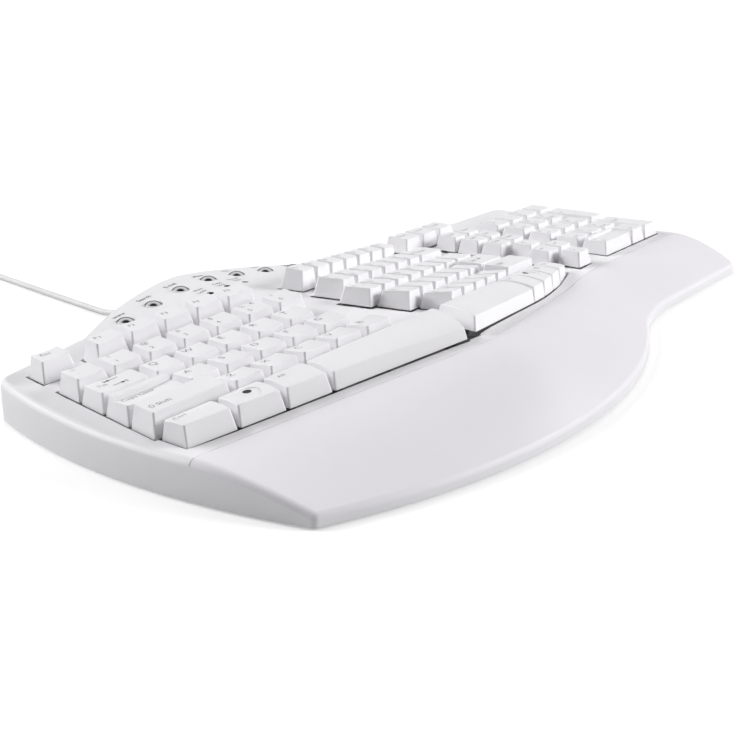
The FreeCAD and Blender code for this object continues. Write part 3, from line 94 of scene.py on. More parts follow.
def coil_points():
    """Turns that wind in, climb by a pitch in half a turn, and wind out again."""
    step = 2 * math.pi / STEPS_PER_TURN
    rate = COIL_PITCH / STEPS_PER_TURN
    points = []
    radius, height, inward, angle = COIL_OUTER, COIL_LOW, -1, 0.0
    for layer in range(COIL_LAYERS):
        for i in range(round(COIL_TURNS * STEPS_PER_TURN)):
            points.append((radius, angle, height))
            radius += inward * rate
            angle += step
        if layer + 1 < COIL_LAYERS:
            half = STEPS_PER_TURN // 2
            for i in range(half):
                share = i / half
                points.append((radius, angle, height + share * COIL_PITCH))
                radius += inward * rate * (1 - 2 * share)
                angle += step
            height += COIL_PITCH
            inward = -inward
    points.append((radius, angle, height))
    x, y = COIL_CENTRE
    return [(x + r * math.cos(a), y + r * math.sin(a), h) for r, a, h in points]


def tail_points(end):
    """From the coil's last turn down into the plug's grip on the desk."""
    x, y, z = end
    return [
        (x, y - TAIL_LEVEL, z),
        (x, y - GRIP_START, GRIP_HEIGHT),
        (x, y - GRIP_IN, GRIP_HEIGHT),
    ]


turns = coil_points()
route = CORD_ROUTE + turns + tail_points(turns[-1])
cord_curve = bpy.data.curves.new("cord_line", "CURVE")
cord_curve.dimensions = "3D"
cord_curve.bevel_depth = CORD_WIDE / 2
cord_curve.bevel_resolution = 6
cord_curve.resolution_u = 6
cord_curve.use_fill_caps = True
# The bevel is in millimetres, and the points' radius brings it to metres.
spline = cord_curve.splines.new("NURBS")
spline.points.add(len(route) - 1)
for point, place in zip(spline.points, route):
    point.co = (place[0] * MM, place[1] * MM, place[2] * MM, 1.0)
    point.radius = MM
spline.order_u = 3
spline.use_endpoint_u = True


# The strap round the coil: a woven band, closed round the bundle of turns.

STRAP_X = (-71.5, -64.6)
STRAP_Y = (410.5, 429.1)
STRAP_Z = (0.05, 18.55)
STRAP_THICK = 0.9
STRAP_CORNER = 1.6
CORNER_STEP = 15
CORNER_SPOTS = 7
WEAVE_DEEP = 0.06
WEAVE_PITCH = 0.55


def strap_outline():
    """Points in y and z round the strap's section, a rectangle with round corners."""
    corners = (
        (STRAP_Y[1] - STRAP_CORNER, STRAP_Z[1] - STRAP_CORNER, 0),
        (STRAP_Y[0] + STRAP_CORNER, STRAP_Z[1] - STRAP_CORNER, 90),
        (STRAP_Y[0] + STRAP_CORNER, STRAP_Z[0] + STRAP_CORNER, 180),
        (STRAP_Y[1] - STRAP_CORNER, STRAP_Z[0] + STRAP_CORNER, 270),
    )
    spots = []
    for y, z, start in corners:
        for step in range(CORNER_SPOTS):
            angle = math.radians(start + step * CORNER_STEP)
            spots.append((y + STRAP_CORNER * math.cos(angle), z + STRAP_CORNER * math.sin(angle)))
    return spots


def spread(spots, pitch):
    """The closed line through the spots, cut into short even steps."""
    line = []
    for (y0, z0), (y1, z1) in zip(spots, spots[1:] + spots[:1]):
        parts = max(1, round(math.hypot(y1 - y0, z1 - z0) / pitch))
        for i in range(parts):
            share = i / parts
            line.append((y0 + (y1 - y0) * share, z0 + (z1 - z0) * share))
    return line


def woven_band():
    """The strap's mesh: every other cell of its outer side lies a little deeper."""
    net = bmesh.new()
    middle = Vector((sum(STRAP_Y) / 2, sum(STRAP_Z) / 2))
    columns = round((STRAP_X[1] - STRAP_X[0]) / WEAVE_PITCH)
    outer_rows, inner_rows = [], []
    for row, spot in enumerate(spread(strap_outline(), WEAVE_PITCH)):
        inward = (middle - Vector(spot)).normalized()
        outer, inner = [], []
        for column in range(columns + 1):
            x = STRAP_X[0] + (STRAP_X[1] - STRAP_X[0]) * column / columns
            sunk = WEAVE_DEEP if (row + column) % 2 else 0.0
            for depth, line in ((sunk, outer), (STRAP_THICK, inner)):
                y, z = Vector(spot) + inward * depth
                line.append(net.verts.new((x * MM, y * MM, z * MM)))
        outer_rows.append(outer)
        inner_rows.append(inner)
    outer_pairs = zip(outer_rows, outer_rows[1:] + outer_rows[:1])
    inner_pairs = zip(inner_rows, inner_rows[1:] + inner_rows[:1])
    for (outer, next_outer), (inner, next_inner) in zip(outer_pairs, inner_pairs):
        for a in range(columns):
            b = a + 1
            net.faces.new((outer[a], next_outer[a], next_outer[b], outer[b]))
            net.faces.new((inner[a], inner[b], next_inner[b], next_inner[a]))
        for edge in (0, columns):
            net.faces.new((outer[edge], next_outer[edge], next_inner[edge], inner[edge]))
    bmesh.ops.recalc_face_normals(net, faces=net.faces[:])
    mesh = bpy.data.meshes.new("tie_strap")
    net.to_mesh(mesh)
    net.free()
    return mesh


strap = bpy.data.objects.new("tie_strap", woven_band())
scene.collection.objects.link(strap)
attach(strap, "case")
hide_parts("cord_tie")

cord = bpy.data.objects.new("cord_line", cord_curve)
scene.collection.objects.link(cord)
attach(cord, "case")
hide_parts("cord", "cord_coil")


# Materials: every surface is built from nodes.

CLOUD_DETAIL = 5.0
GRAIN_DETAIL = 3.0
GRAIN_DEEP = 0.0002


def surface(name, low, high, rough, metal=0.0, grain=900.0, bump=0.05, cloud=14.0, **sockets):
    """A material with a clouded colour, a rough patchiness and a fine grain."""
    material = bpy.data.materials.new(name)
    material.use_nodes = True
    nodes = material.node_tree.nodes
    link = material.node_tree.links.new
    shader = nodes["Principled BSDF"]
    shader.inputs["Metallic"].default_value = metal
    for socket, value in sockets.items():
        shader.inputs[socket.replace("_", " ")].default_value = value
    where = nodes.new("ShaderNodeTexCoord")
    clouds = nodes.new("ShaderNodeTexNoise")
    clouds.inputs["Scale"].default_value = cloud
    clouds.inputs["Detail"].default_value = CLOUD_DETAIL
    link(where.outputs["Object"], clouds.inputs["Vector"])
    tint = nodes.new("ShaderNodeValToRGB")
    tint.color_ramp.elements[0].position = 0.3
    tint.color_ramp.elements[0].color = (*low, 1.0)
    tint.color_ramp.elements[1].position = 0.7
    tint.color_ramp.elements[1].color = (*high, 1.0)
    link(clouds.outputs["Fac"], tint.inputs["Fac"])
    link(tint.outputs["Color"], shader.inputs["Base Color"])
    fine = nodes.new("ShaderNodeTexNoise")
    fine.inputs["Scale"].default_value = grain
    fine.inputs["Detail"].default_value = GRAIN_DETAIL
    link(where.outputs["Object"], fine.inputs["Vector"])
    polish = nodes.new("ShaderNodeMapRange")
    polish.inputs["To Min"].default_value = rough[0]
    polish.inputs["To Max"].default_value = rough[1]
    link(fine.outputs["Fac"], polish.inputs["Value"])
    link(polish.outputs["Result"], shader.inputs["Roughness"])
    relief = nodes.new("ShaderNodeBump")
    relief.inputs["Strength"].default_value = bump
    relief.inputs["Distance"].default_value = GRAIN_DEEP
    link(fine.outputs["Fac"], relief.inputs["Height"])
    link(relief.outputs["Normal"], shader.inputs["Normal"])
    return material


case_white = surface("case_white", (0.800, 0.790, 0.812), (0.822, 0.812, 0.834), (0.40, 0.58),
                     grain=1500.0, bump=0.12)
palm_white = surface("palm_white", (0.778, 0.762, 0.794), (0.800, 0.784, 0.816), (0.46, 0.64),
                     grain=1300.0, bump=0.18)
key_white = surface("key_white", (0.842, 0.834, 0.852), (0.862, 0.854, 0.872), (0.34, 0.50),
                    grain=1700.0, bump=0.08)
chrome = surface("chrome", (0.86, 0.86, 0.88), (0.93, 0.93, 0.94), (0.04, 0.12), metal=1.0,
                 grain=400.0, bump=0.01)
# The key frame's grey is partly its own colour and partly painted shade: it is darkened so that
# the gaps and slots between the keys read darker.
frame_grey = surface("frame_grey", (0.33, 0.325, 0.335), (0.38, 0.375, 0.385), (0.45, 0.6))
rubber_clear = surface("rubber_clear", (0.52, 0.52, 0.50), (0.60, 0.60, 0.58), (0.35, 0.55),
                       grain=500.0)
film = surface("film", (0.55, 0.60, 0.56), (0.66, 0.70, 0.66), (0.15, 0.3), grain=300.0)
plate_steel = surface("plate_steel", (0.50, 0.50, 0.52), (0.64, 0.64, 0.66), (0.28, 0.45),
                      metal=1.0, grain=650.0, bump=0.1)
board_green = surface("board_green", (0.02, 0.13, 0.05), (0.03, 0.19, 0.08), (0.25, 0.45),
                      grain=800.0, Coat_Weight=0.4)
switch_black = surface("switch_black", (0.015, 0.015, 0.016), (0.03, 0.03, 0.032), (0.35, 0.5))
lamp_clear = surface("lamp_clear", (0.55, 0.62, 0.50), (0.70, 0.76, 0.64), (0.08, 0.2),
                     Coat_Weight=0.6)
window_dark = surface("window_dark", (0.016, 0.014, 0.016), (0.035, 0.03, 0.034), (0.12, 0.22),
                      Coat_Weight=0.1)
screw_steel = surface("screw_steel", (0.42, 0.42, 0.44), (0.58, 0.58, 0.60), (0.22, 0.4),
                      metal=1.0, grain=1200.0, bump=0.1)
foot_rubber = surface("foot_rubber", (0.30, 0.295, 0.30), (0.36, 0.355, 0.36), (0.7, 0.88),
                      grain=900.0, bump=0.3)
cord_white = surface("cord_white", (0.68, 0.675, 0.68), (0.76, 0.755, 0.76), (0.38, 0.55),
                     grain=700.0, bump=0.1, cloud=40.0)
relief_white = surface("relief_white", (0.66, 0.655, 0.66), (0.74, 0.735, 0.74), (0.42, 0.6),
                       grain=900.0, bump=0.12, cloud=60.0)
grip_white = surface("grip_white", (0.74, 0.735, 0.745), (0.80, 0.795, 0.805), (0.38, 0.55),
                     grain=1200.0, bump=0.15, cloud=60.0)
shell_metal = surface("shell_metal", (0.62, 0.62, 0.63), (0.78, 0.78, 0.79), (0.16, 0.3),
                      metal=1.0, grain=900.0, bump=0.05, cloud=80.0)
ink_grey = surface("ink_grey", (0.15, 0.147, 0.158), (0.19, 0.187, 0.198), (0.45, 0.6),
                   grain=2500.0, bump=0.05, cloud=300.0)
ink_dark = surface("ink_dark", (0.02, 0.02, 0.024), (0.04, 0.04, 0.045), (0.45, 0.6),
                   grain=2500.0, bump=0.05, cloud=300.0)

FINISHES = {
    "case_plastic": case_white, "palm_plastic": palm_white, "key_plastic": key_white,
    "button_chrome": chrome, "frame_plastic": frame_grey, "dome_rubber": rubber_clear,
    "membrane_film": film, "plate_steel": plate_steel, "board_green": board_green,
    "switch_black": switch_black, "lamp_clear": lamp_clear, "window_dark": window_dark,
    "screw_steel": screw_steel, "foot_rubber": foot_rubber, "cord_vinyl": cord_white,
    "relief_vinyl": relief_white, "tie_fabric": foot_rubber, "grip_plastic": grip_white,
    "shell_metal": shell_metal,
}
for part in frame["record"]["subparts"]:
    node = frame["nodes"][part["node"]]
    finish = FINISHES[part["material_slot"]]
    if not node.material_slots:
        node.data.materials.append(finish)
    for slot in node.material_slots:
        slot.material = finish


# Printed legends, laid on the key tops and on the deck. Sizes and places are in millimetres.

PITCH = 19.05
SMALL_PITCH = 16.24


def group_frame(corner, yaw, tent, slope, pitch, side):
    """The plane of a key field: its back corner, its turn, its cell size and where cells start."""
    turned = turn(yaw, "Z") @ turn(tent, "Y") @ turn(slope, "X")
    return {"corner": Vector(corner), "turn": turned, "pitch": pitch, "side": side}


LEFT = group_frame((-219.86, 46.51, 29.42), -12.08, -6.4, 1.2, PITCH, 1)
RIGHT = group_frame((89.25, 50.99, 27.02), 12.08, 6.4, 1.2, PITCH, -1)
PAD = group_frame((150.7, 49.2, 30.4), 0, 0, 0, PITCH, 1)
EDIT = group_frame((105.9, 54.1, 30.4), 0, 0, 0, SMALL_PITCH, 1)
PRINT = group_frame((84.5, 75.9, 30.4), 0, 0, 0, PITCH, 1)
DECK = group_frame((0, 0, 40), 0, 0, 0, 1.0, 1)

EM_TO_CAPITAL = 1.39
KEY_BOLD = -0.012
BUTTON_BOLD = 0.015
LAMP_BOLD = 0.01
DROP_FROM = 12.0
DROP_REACH = 0.06
INK_LIFT = 0.05

trees = {}


def tree_of(node):
    """A search tree of a node's faces, made once."""
    if node not in trees:
        mesh = frame["nodes"][node].data
        corners = [v.co for v in mesh.vertices]
        faces = [tuple(p.vertices) for p in mesh.polygons]
        trees[node] = BVHTree.FromPolygons(corners, faces)
    return trees[node]


def flat_text(words, high, wide=None, bold=KEY_BOLD):
    """A filled text as points and faces about its middle: capitals as high as given."""
    data = bpy.data.curves.new("words", "FONT")
    data.body = words
    data.size = high * EM_TO_CAPITAL
    data.offset = high * bold
    data.resolution_u = 3
    thing = bpy.data.objects.new("words", data)
    scene.collection.objects.link(thing)
    mesh = bpy.data.meshes.new_from_object(thing)
    across = [v.co.x for v in mesh.vertices]
    middle = (min(across) + max(across)) / 2
    stretch = wide / (max(across) - min(across)) if wide else 1.0
    points = [((v.co.x - middle) * stretch, v.co.y - high / 2) for v in mesh.vertices]
    faces = [tuple(p.vertices) for p in mesh.polygons]
    bpy.data.objects.remove(thing)
    bpy.data.meshes.remove(mesh)
    return points, faces


def flat_shape(outlines):
    """Filled outlines drawn one by one: each a list of corners in millimetres."""
    points, faces = [], []
    for outline in outlines:
        faces.append(tuple(range(len(points), len(points) + len(outline))))
        points += outline
    return points, faces


def bar(x0, y0, x1, y1, wide):
    """A straight stroke as an outline."""
    length = math.hypot(x1 - x0, y1 - y0)
    nx = -(y1 - y0) / length * wide / 2
    ny = (x1 - x0) / length * wide / 2
    return [(x0 + nx, y0 + ny), (x0 - nx, y0 - ny), (x1 - nx, y1 - ny), (x1 + nx, y1 + ny)]


def disc(radius, corners=20):
    """A round dot about the origin."""
    steps = [2 * math.pi * i / corners for i in range(corners)]
    return [(radius * math.cos(a), radius * math.sin(a)) for a in steps]


def arrow(length, heading, head_long=1.5, head_half=0.62, stroke=0.28):
    """A thin arrow with a solid head; heading turns it in the plane."""
    shaft = bar(0, 0, length - head_long * 0.8, 0, stroke)
    head = [(length - head_long, -head_half), (length, 0), (length - head_long, head_half)]
    angle = math.radians(heading)
    c, s = math.cos(angle), math.sin(angle)
    return [[(x * c - y * s, x * s + y * c) for x, y in shape] for shape in (shaft, head)]


def shifted(outlines, x, y):
    """Outlines moved in the plane."""
    return [[(px + x, py + y) for px, py in outline] for outline in outlines]


inks = {}


def lay(node, body, group, x, y, flat, material=None):
    """Drop a flat shape onto a node, seen along its group's normal."""
    points, faces = flat
    tree = tree_of(node)
    normal = group["turn"] @ Vector((0, 0, 1))
    corners = []
    for px, py in points:
        local = Vector((x + px, y + py, DROP_FROM))
        start = (group["corner"] + group["turn"] @ local) * MM
        place = tree.ray_cast(start, -normal, DROP_REACH)[0]
        if place is None:
            print("no surface below a legend on", node, x, y)
            return
        corners.append(place + normal * INK_LIFT * MM)
    material = material or ink_grey
    entry = inks.setdefault((body, node, material.name), [[], [], material])
    base = len(entry[0])
    entry[0] += corners
    entry[1] += [tuple(base + i for i in face) for face in faces]


def cell_corner(group, start, row, wide):
    """Left front corner of a cell in the group's plane."""
    pitch = group["pitch"]
    left = start * pitch if group["side"] > 0 else -(start + wide) * pitch
    return left, -row * pitch


def key_words(node, group, start, row, words, x, y, high, across=None, wide=1.0, material=None):
    """Words whose middle stands at x, y from the left front corner of a cell."""
    left, front = cell_corner(group, start, row, wide)
    flat = flat_text(words, high, across)
    lay(node, node, group, left + x, front + y, flat, material=material)


def key_shape(node, group, start, row, outlines, x, y, wide=1.0, material=None):
    """A drawn sign with its origin at x, y from the left front corner of a cell."""
    left, front = cell_corner(group, start, row, wide)
    lay(node, node, group, left + x, front + y, flat_shape(outlines), material=material)


LETTER_ROWS = (
    ("upper_letters_left", LEFT, 1.5, 1, "QWERT"),
    ("home_letters_left", LEFT, 1.75, 2, "ASDFG"),
    ("lower_letters_left", LEFT, 2.25, 3, "ZXCVB"),
    ("upper_letters_right", RIGHT, 3.5, 1, "POIUY"),
    ("home_letters_right", RIGHT, 4.25, 2, "LKJH"),
    ("lower_letters_right", RIGHT, 5.75, 3, "MN"),
)
for node, group, start, row, letters in LETTER_ROWS:
    for i, letter in enumerate(letters):
        key_words(node, group, start + i, row, letter, x=7.2, y=13.0, high=4.0)

PAIRS = (
    ("number_keys_left", LEFT, 0.0, 0, 1.0, ("~`", "!1", "@2", "#3", "$4", "%5", "^6")),
    ("number_keys_right", RIGHT, 2.0, 0, 1.0, ("+=", "_-", ")0", "(9", "*8", "&7")),
    ("upper_letters_right", RIGHT, 1.5, 1, 1.0, ("}]", "{[")),
    ("home_letters_right", RIGHT, 2.25, 2, 1.0, ("\"'", ":;")),
    ("lower_letters_right", RIGHT, 2.75, 3, 1.0, ("?/", ">.", "<,")),
    ("backslash_key", RIGHT, 0.0, 1, 1.5, ("|\\",)),
)
for node, group, start, row, wide, pairs in PAIRS:
    for i, (above, below) in enumerate(pairs):
        key_words(node, group, start + i, row, above, x=6.9, y=14.2, high=3.0, wide=wide)
        key_words(node, group, start + i, row, below, x=6.8, y=7.4, high=3.1, wide=wide)
key_words("number_keys_left", LEFT, 5.0, 0, "\u20ac", x=13.0, y=14.2, high=2.5)

F_ROW = -1.425
F_KEYS = (
    ("f_keys_left", LEFT, 1.446, (1, 2, 3, 4, 5)),
    ("f_keys_right", RIGHT, 0.57, (12, 11, 10, 9, 8, 7, 6)),
)
for node, group, start, numbers in F_KEYS:
    for i, number in enumerate(numbers):
        across = 3.3 if number < 10 else 4.9
        key_words(node, group, start + i, F_ROW, "F%d" % number, 6.6, 8.8, 2.4, across)

WORDS = (
    ("esc_key", LEFT, 0.02, -1.59, 1.0, "Esc", 8.3, 9.6, 2.5, 5.1),
    ("tab_key", LEFT, 0.0, 1, 1.5, "Tab", 7.7, 10.6, 2.5, 4.6),
    ("caps_lock_key", LEFT, 0.0, 2, 1.75, "Caps Lock", 12.6, 9.9, 2.8, 16.4),
    ("shift_key_left", LEFT, 0.0, 3, 2.25, "Shift", 11.8, 8.0, 2.7, 7.4),
    ("ctrl_key_left", LEFT, 0.28, 4, 1.275, "Ctrl", 4.0, 13.4, 2.6, 6.0),
    ("alt_key_left", LEFT, 2.845, 4, 1.275, "Alt", 7.2, 11.5, 2.6, 4.0),
    ("backspace_key", RIGHT, 0.0, 0, 2.0, "Backspace", 19.5, 10.2, 2.5, 14.5),
    ("enter_key", RIGHT, 0.0, 2, 2.25, "Enter", 10.0, 10.2, 2.6, 8.2),
    ("shift_key_right", RIGHT, 0.0, 3, 2.75, "Shift", 11.8, 10.2, 2.7, 7.4),
    ("ctrl_key_right", RIGHT, 0.0, 4, 1.0, "Ctrl", 7.6, 12.0, 2.5, 5.6),
    ("alt_key_right", RIGHT, 3.36, 4, 1.21, "Alt", 7.4, 12.0, 2.6, 4.0),
    ("pad_enter_key", PAD, 3.0, 4, 1.0, "Enter", 8.3, 26.6, 2.3, 7.6),
)
for node, group, start, row, wide, words, x, y, high, across in WORDS:
    key_words(node, group, start, row, words, x, y, high, across, wide)

THIN = 0.24
UP_ARROW = [
    bar(-1.3, 0.0, 0.0, 1.7, THIN), bar(1.3, 0.0, 0.0, 1.7, THIN),
    bar(-1.3, 0.0, -0.6, 0.0, THIN), bar(1.3, 0.0, 0.6, 0.0, THIN),
    bar(-0.6, 0.0, -0.6, -1.4, THIN), bar(0.6, 0.0, 0.6, -1.4, THIN),
    bar(-0.72, -1.4, 0.72, -1.4, THIN),
]
key_shape("shift_key_left", LEFT, 0.0, 3, UP_ARROW, 5.7, 8.0, 2.25)
key_shape("shift_key_right", RIGHT, 0.0, 3, UP_ARROW, 5.7, 10.2, 2.75)
THICK = 0.42
BOLD = {"head_long": 2.3, "head_half": 1.05, "stroke": THICK}
back_tab = shifted(arrow(6.9, 180, **BOLD), 7.3, 0) + [bar(0.2, -1.2, 0.2, 1.2, THICK)]
fore_tab = arrow(6.7, 0, **BOLD) + [bar(7.0, -1.2, 7.0, 1.2, THICK)]
key_shape("tab_key", LEFT, 0.0, 1, back_tab, 10.3, 13.9, 1.5, ink_dark)
key_shape("tab_key", LEFT, 0.0, 1, fore_tab, 10.9, 6.8, 1.5, ink_dark)
back_arrow = shifted(arrow(5.4, 180, **BOLD), 5.4, 0)
key_shape("backspace_key", RIGHT, 0.0, 0, back_arrow, 5.0, 10.2, 2.0, ink_dark)
enter_hook = back_arrow + [bar(5.4, -0.2, 5.4, 2.6, THICK)]
key_shape("enter_key", RIGHT, 0.0, 2, enter_hook, 17.6, 9.8, 2.25, ink_dark)
key_shape("logo_key_left", LEFT, 1.555, 4, [disc(2.0)], 12.6, 10.7, 1.29, ink_dark)
key_shape("logo_key_right", RIGHT, 2.15, 4, [disc(1.8)], 11.5, 10.6, 1.21, ink_dark)
MENU_HALF_WIDE = 1.7
MENU_HALF_HIGH = 1.4
MENU_STROKE = 0.3
menu_list = [bar(-MENU_HALF_WIDE, y, MENU_HALF_WIDE, y, MENU_STROKE)
             for y in (-MENU_HALF_HIGH, -0.45, 0.45, MENU_HALF_HIGH)]
menu_list += [bar(x, -MENU_HALF_HIGH, x, MENU_HALF_HIGH, MENU_STROKE)
              for x in (-MENU_HALF_WIDE, MENU_HALF_WIDE)]
key_shape("menu_key", RIGHT, 1.0, 4, menu_list, 10.4, 10.6, 1.15, ink_dark)

SINGLE_HIGH = 2.0
SINGLE_PER_LETTER = 1.45
SINGLE_WORDS = (
    ("print_keys", PRINT, 0, 9.2, 11.2, ("Prt Sc", "Scr Lk", "Pause")),
    ("editing_keys", EDIT, 0, 8.0, 9.6, ("Insert", "Delete")),
    ("editing_keys", EDIT, 1, 8.0, 9.6, ("Home", "End")),
    ("editing_keys", EDIT, 2, 8.0, 9.6, ("Pg Up", "Pg Dn")),
)
for node, group, row, x, y, words in SINGLE_WORDS:
    for i, word in enumerate(words):
        across = SINGLE_PER_LETTER * len(word)
        key_words(node, group, i, row, word, x, y, SINGLE_HIGH, across, material=ink_dark)

PAD_X = 7.0
PAD_Y = 12.8
PAD_HIGH = 3.2
PAD_SECOND_HIGH = 1.8
PAD_SECOND_PER_LETTER = 1.3
PAD_SIGNS = (
    ("pad_upper_keys", 1, 0, "/*-"),
    ("pad_digit_keys", 0, 1, "789"),
    ("pad_digit_keys", 0, 2, "456"),
    ("pad_digit_keys", 0, 3, "123"),
)
for node, start, row, signs in PAD_SIGNS:
    for i, sign in enumerate(signs):
        key_words(node, PAD, start + i, row, sign, PAD_X, PAD_Y, PAD_HIGH, material=ink_dark)
PAD_SECONDS = (
    ("pad_upper_keys", 0.0, 0, 1.0, "Num", 8.0, 13.0),
    ("pad_upper_keys", 0.0, 0, 1.0, "Lock", 8.0, 9.2),
    ("pad_digit_keys", 0.0, 1, 1.0, "Home", 8.0, 6.4),
    ("pad_digit_keys", 2.0, 1, 1.0, "Pg Up", 8.4, 6.4),
    ("pad_digit_keys", 0.0, 3, 1.0, "End", 7.6, 6.4),
    ("pad_digit_keys", 2.0, 3, 1.0, "Pg Dn", 8.4, 6.4),
    ("pad_zero_key", 0.0, 4, 2.0, "Ins", 7.4, 6.4),
    ("pad_point_key", 2.0, 4, 1.0, "Del", 7.6, 6.4),
)
for node, start, row, wide, words, x, y in PAD_SECONDS:
    across = PAD_SECOND_PER_LETTER * len(words)
    key_words(node, PAD, start, row, words, x, y, PAD_SECOND_HIGH, across, wide, ink_dark)
key_words("pad_zero_key", PAD, 0.0, 4, "0", PAD_X, PAD_Y, PAD_HIGH, wide=2.0, material=ink_dark)
key_words("pad_point_key", PAD, 2.0, 4, ".", PAD_X, PAD_Y, PAD_HIGH, material=ink_dark)
key_words("pad_plus_key", PAD, 3.0, 2, "+", PAD_X, 27.0, PAD_HIGH, material=ink_dark)
PAD_ARROWS = (
    (1, 1, 90, 7.4, 4.6), (0, 2, 180, 9.4, 6.4), (2, 2, 0, 5.4, 6.4), (1, 3, 270, 7.4, 8.4),
)
for column, row, heading, x, y in PAD_ARROWS:
    key_shape("pad_digit_keys", PAD, column, row, arrow(3.8, heading), x, y, 1.0, ink_dark)
CURSOR_ARROWS = (
    (0.5, 3, 90, 7.2, 7.4), (0.0, 4, 180, 9.6, 9.4),
    (1.0, 4, 0, 5.0, 9.4), (0.5, 5, 270, 7.2, 11.4),
)
for column, row, heading, x, y in CURSOR_ARROWS:
    key_shape("arrow_keys", EDIT, column, row, arrow(4.6, heading), x, y, 1.0, ink_dark)

BUTTON_HIGH = 2.8
BUTTON_WORDS = (
    (-133.5, 107.2, "www", 8.4), (-109.6, 112.5, "Search", 9.4), (-88.0, 113.9, "E-mail", 8.2),
    (-65.4, 114.5, "Mute", 7.6), (-40.8, 115.4, "Vol -", 6.6), (-17.0, 114.2, "Vol +", 6.6),
    (4.6, 108.6, "Sleep", 7.0),
)
for x, y, words, across in BUTTON_WORDS:
    flat = flat_text(words, BUTTON_HIGH, across, BUTTON_BOLD)
    lay("top_case", "case", DECK, x, y, flat, material=ink_dark)
LAMP_HIGH = 2.2
LAMP_SHIFT = 0.6
LAMP_STEP = 2.0
LAMP_WORDS = (
    (-87.3, 93.3, "Num", 6.0, "Lock", 6.2), (-72.7, 92.9, "Caps", 6.6, "Lock", 6.2),
    (-57.2, 95.0, "Scroll", 8.4, "Lock", 6.2),
)
for x, y, above, above_wide, below, below_wide in LAMP_WORDS:
    upper = flat_text(above, LAMP_HIGH, above_wide, LAMP_BOLD)
    lower = flat_text(below, LAMP_HIGH, below_wide, LAMP_BOLD)
    lay("top_case", "case", DECK, x + LAMP_SHIFT, y + LAMP_STEP, upper, material=ink_dark)
    lay("top_case", "case", DECK, x - LAMP_SHIFT, y - LAMP_STEP, lower, material=ink_dark)

for (body, node, name), (corners, faces, material) in inks.items():
    mesh = bpy.data.meshes.new("legend")
    mesh.from_pydata(corners, [], faces)
    mesh.update()
    mesh.materials.append(material)
    print_piece = bpy.data.objects.new("legend_%s_%s" % (node, name[4:]), mesh)
    scene.collection.objects.link(print_piece)
    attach(print_piece, body)

cord.data.materials.append(cord_white)
strap.data.materials.append(foot_rubber)


# Studio: a plain pale floor, soft lamps and a white background.

MIDDLE = (0.0, 0.0, 0.02)
SKY_LIGHT = 0.08
SKY_BANDS = (
    (0.0, 0.8), (0.26, 0.12), (0.42, 0.06), (0.56, 0.7), (0.84, 0.6), (0.93, 0.04), (0.98, 0.03),
)
FLOOR_HALF = 6.0
FLOOR_GAP = 0.0002
FLOOR_NEAR = 0.3
FLOOR_FAR = 0.9
FLOOR_GLOW = 0.42


def lamp(name, place, size_x, size_y, power):
    """A soft box that faces the middle of the keyboard."""
    data = bpy.data.lights.new(name, "AREA")
    data.shape = "RECTANGLE"
    data.size = size_x
    data.size_y = size_y
    data.energy = power
    thing = bpy.data.objects.new(name, data)
    scene.collection.objects.link(thing)
    thing.location = place
    thing.rotation_euler = (Vector(MIDDLE) - Vector(place)).to_track_quat("-Z", "Y").to_euler()
    return thing


lamp("left_softbox", (-1.02, 1.78, 1.28), 1.3, 1.0, 48.0)
lamp("right_softbox", (1.9, -2.55, 1.45), 1.9, 1.4, 118.0)
top_box = lamp("top_softbox", (0.5, 0.7, 2.1), 1.6, 1.6, 13.5)
top_box.visible_glossy = False


def studio_world():
    """White where it is seen, weak as a lamp, and banded in what polished metal mirrors."""
    world = bpy.data.worlds.new("studio")
    world.use_nodes = True
    nodes = world.node_tree.nodes
    link = world.node_tree.links.new
    background = nodes["Background"]
    path = nodes.new("ShaderNodeLightPath")
    direct = nodes.new("ShaderNodeMath")
    direct.operation = "MAXIMUM"
    link(path.outputs["Is Camera Ray"], direct.inputs[0])
    link(path.outputs["Is Transmission Ray"], direct.inputs[1])
    seen = nodes.new("ShaderNodeMath")
    seen.operation = "MAXIMUM"
    link(direct.outputs[0], seen.inputs[0])
    link(path.outputs["Is Glossy Ray"], seen.inputs[1])
    strength = nodes.new("ShaderNodeMapRange")
    strength.inputs["To Min"].default_value = SKY_LIGHT
    strength.inputs["To Max"].default_value = 1.0
    link(seen.outputs[0], strength.inputs["Value"])
    link(strength.outputs["Result"], background.inputs["Strength"])
    sky = nodes.new("ShaderNodeTexCoord")
    height = nodes.new("ShaderNodeSeparateXYZ")
    link(sky.outputs["Generated"], height.inputs["Vector"])
    bands = nodes.new("ShaderNodeValToRGB")
    stops = bands.color_ramp.elements
    stops[0].position = SKY_BANDS[0][0]
    stops[1].position = SKY_BANDS[-1][0]
    for place, grey in SKY_BANDS[1:-1]:
        stops.new(place)
    for stop, (place, grey) in zip(stops, SKY_BANDS):
        stop.color = (grey, grey, grey, 1.0)
    link(height.outputs["Z"], bands.inputs["Fac"])
    mirrored = nodes.new("ShaderNodeMix")
    mirrored.data_type = "RGBA"
    mirrored.inputs["A"].default_value = (1.0, 1.0, 1.0, 1.0)
    link(path.outputs["Is Glossy Ray"], mirrored.inputs["Factor"])
    link(bands.outputs["Color"], mirrored.inputs["B"])
    link(mirrored.outputs["Result"], background.inputs["Color"])
    return world


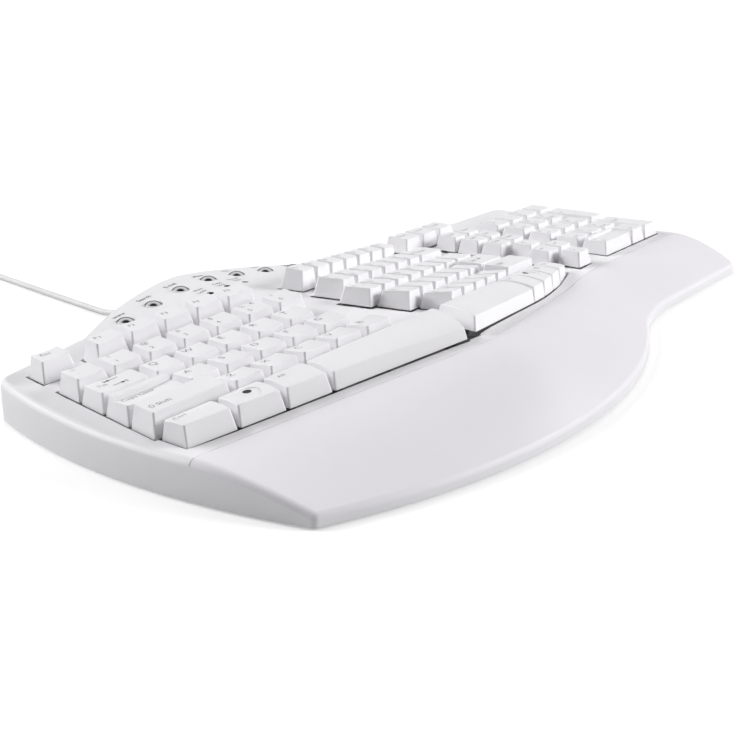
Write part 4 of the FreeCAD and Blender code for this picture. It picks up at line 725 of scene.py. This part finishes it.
def paper():
    """Pale paper that keeps the shadow near the keyboard and turns white away from it."""
    material = bpy.data.materials.new("paper")
    material.use_nodes = True
    nodes = material.node_tree.nodes
    link = material.node_tree.links.new
    shader = nodes["Principled BSDF"]
    shader.inputs["Roughness"].default_value = 0.9
    shader.inputs["Specular IOR Level"].default_value = 0.1
    shader.inputs["Emission Color"].default_value = (1.0, 1.0, 1.0, 1.0)
    fleck = nodes.new("ShaderNodeTexNoise")
    fleck.inputs["Scale"].default_value = 3.0
    shade = nodes.new("ShaderNodeValToRGB")
    shade.color_ramp.elements[0].color = (0.66, 0.66, 0.665, 1.0)
    shade.color_ramp.elements[1].color = (0.70, 0.70, 0.705, 1.0)
    link(fleck.outputs["Fac"], shade.inputs["Fac"])
    link(shade.outputs["Color"], shader.inputs["Base Color"])
    where = nodes.new("ShaderNodeTexCoord")
    away = nodes.new("ShaderNodeVectorMath")
    away.operation = "LENGTH"
    link(where.outputs["Object"], away.inputs[0])
    fade = nodes.new("ShaderNodeMapRange")
    fade.interpolation_type = "SMOOTHSTEP"
    fade.inputs["From Min"].default_value = FLOOR_NEAR
    fade.inputs["From Max"].default_value = FLOOR_FAR
    fade.inputs["To Min"].default_value = FLOOR_GLOW
    fade.inputs["To Max"].default_value = 1.0
    link(away.outputs["Value"], fade.inputs["Value"])
    path = nodes.new("ShaderNodeLightPath")
    glow = nodes.new("ShaderNodeMath")
    glow.operation = "MULTIPLY"
    link(path.outputs["Is Camera Ray"], glow.inputs[0])
    link(fade.outputs["Result"], glow.inputs[1])
    link(glow.outputs[0], shader.inputs["Emission Strength"])
    return material


scene.world = studio_world()
floor_mesh = bpy.data.meshes.new("floor")
floor_net = bmesh.new()
bmesh.ops.create_grid(floor_net, x_segments=8, y_segments=8, size=FLOOR_HALF)
floor_net.to_mesh(floor_mesh)
floor_net.free()
floor_mesh.materials.append(paper())
floor = bpy.data.objects.new("floor", floor_mesh)
scene.collection.objects.link(floor)
floor.location = (0.0, 0.0, -FLOOR_GAP)

scene.view_settings.view_transform = "Standard"
bpy.context.view_layer.update()
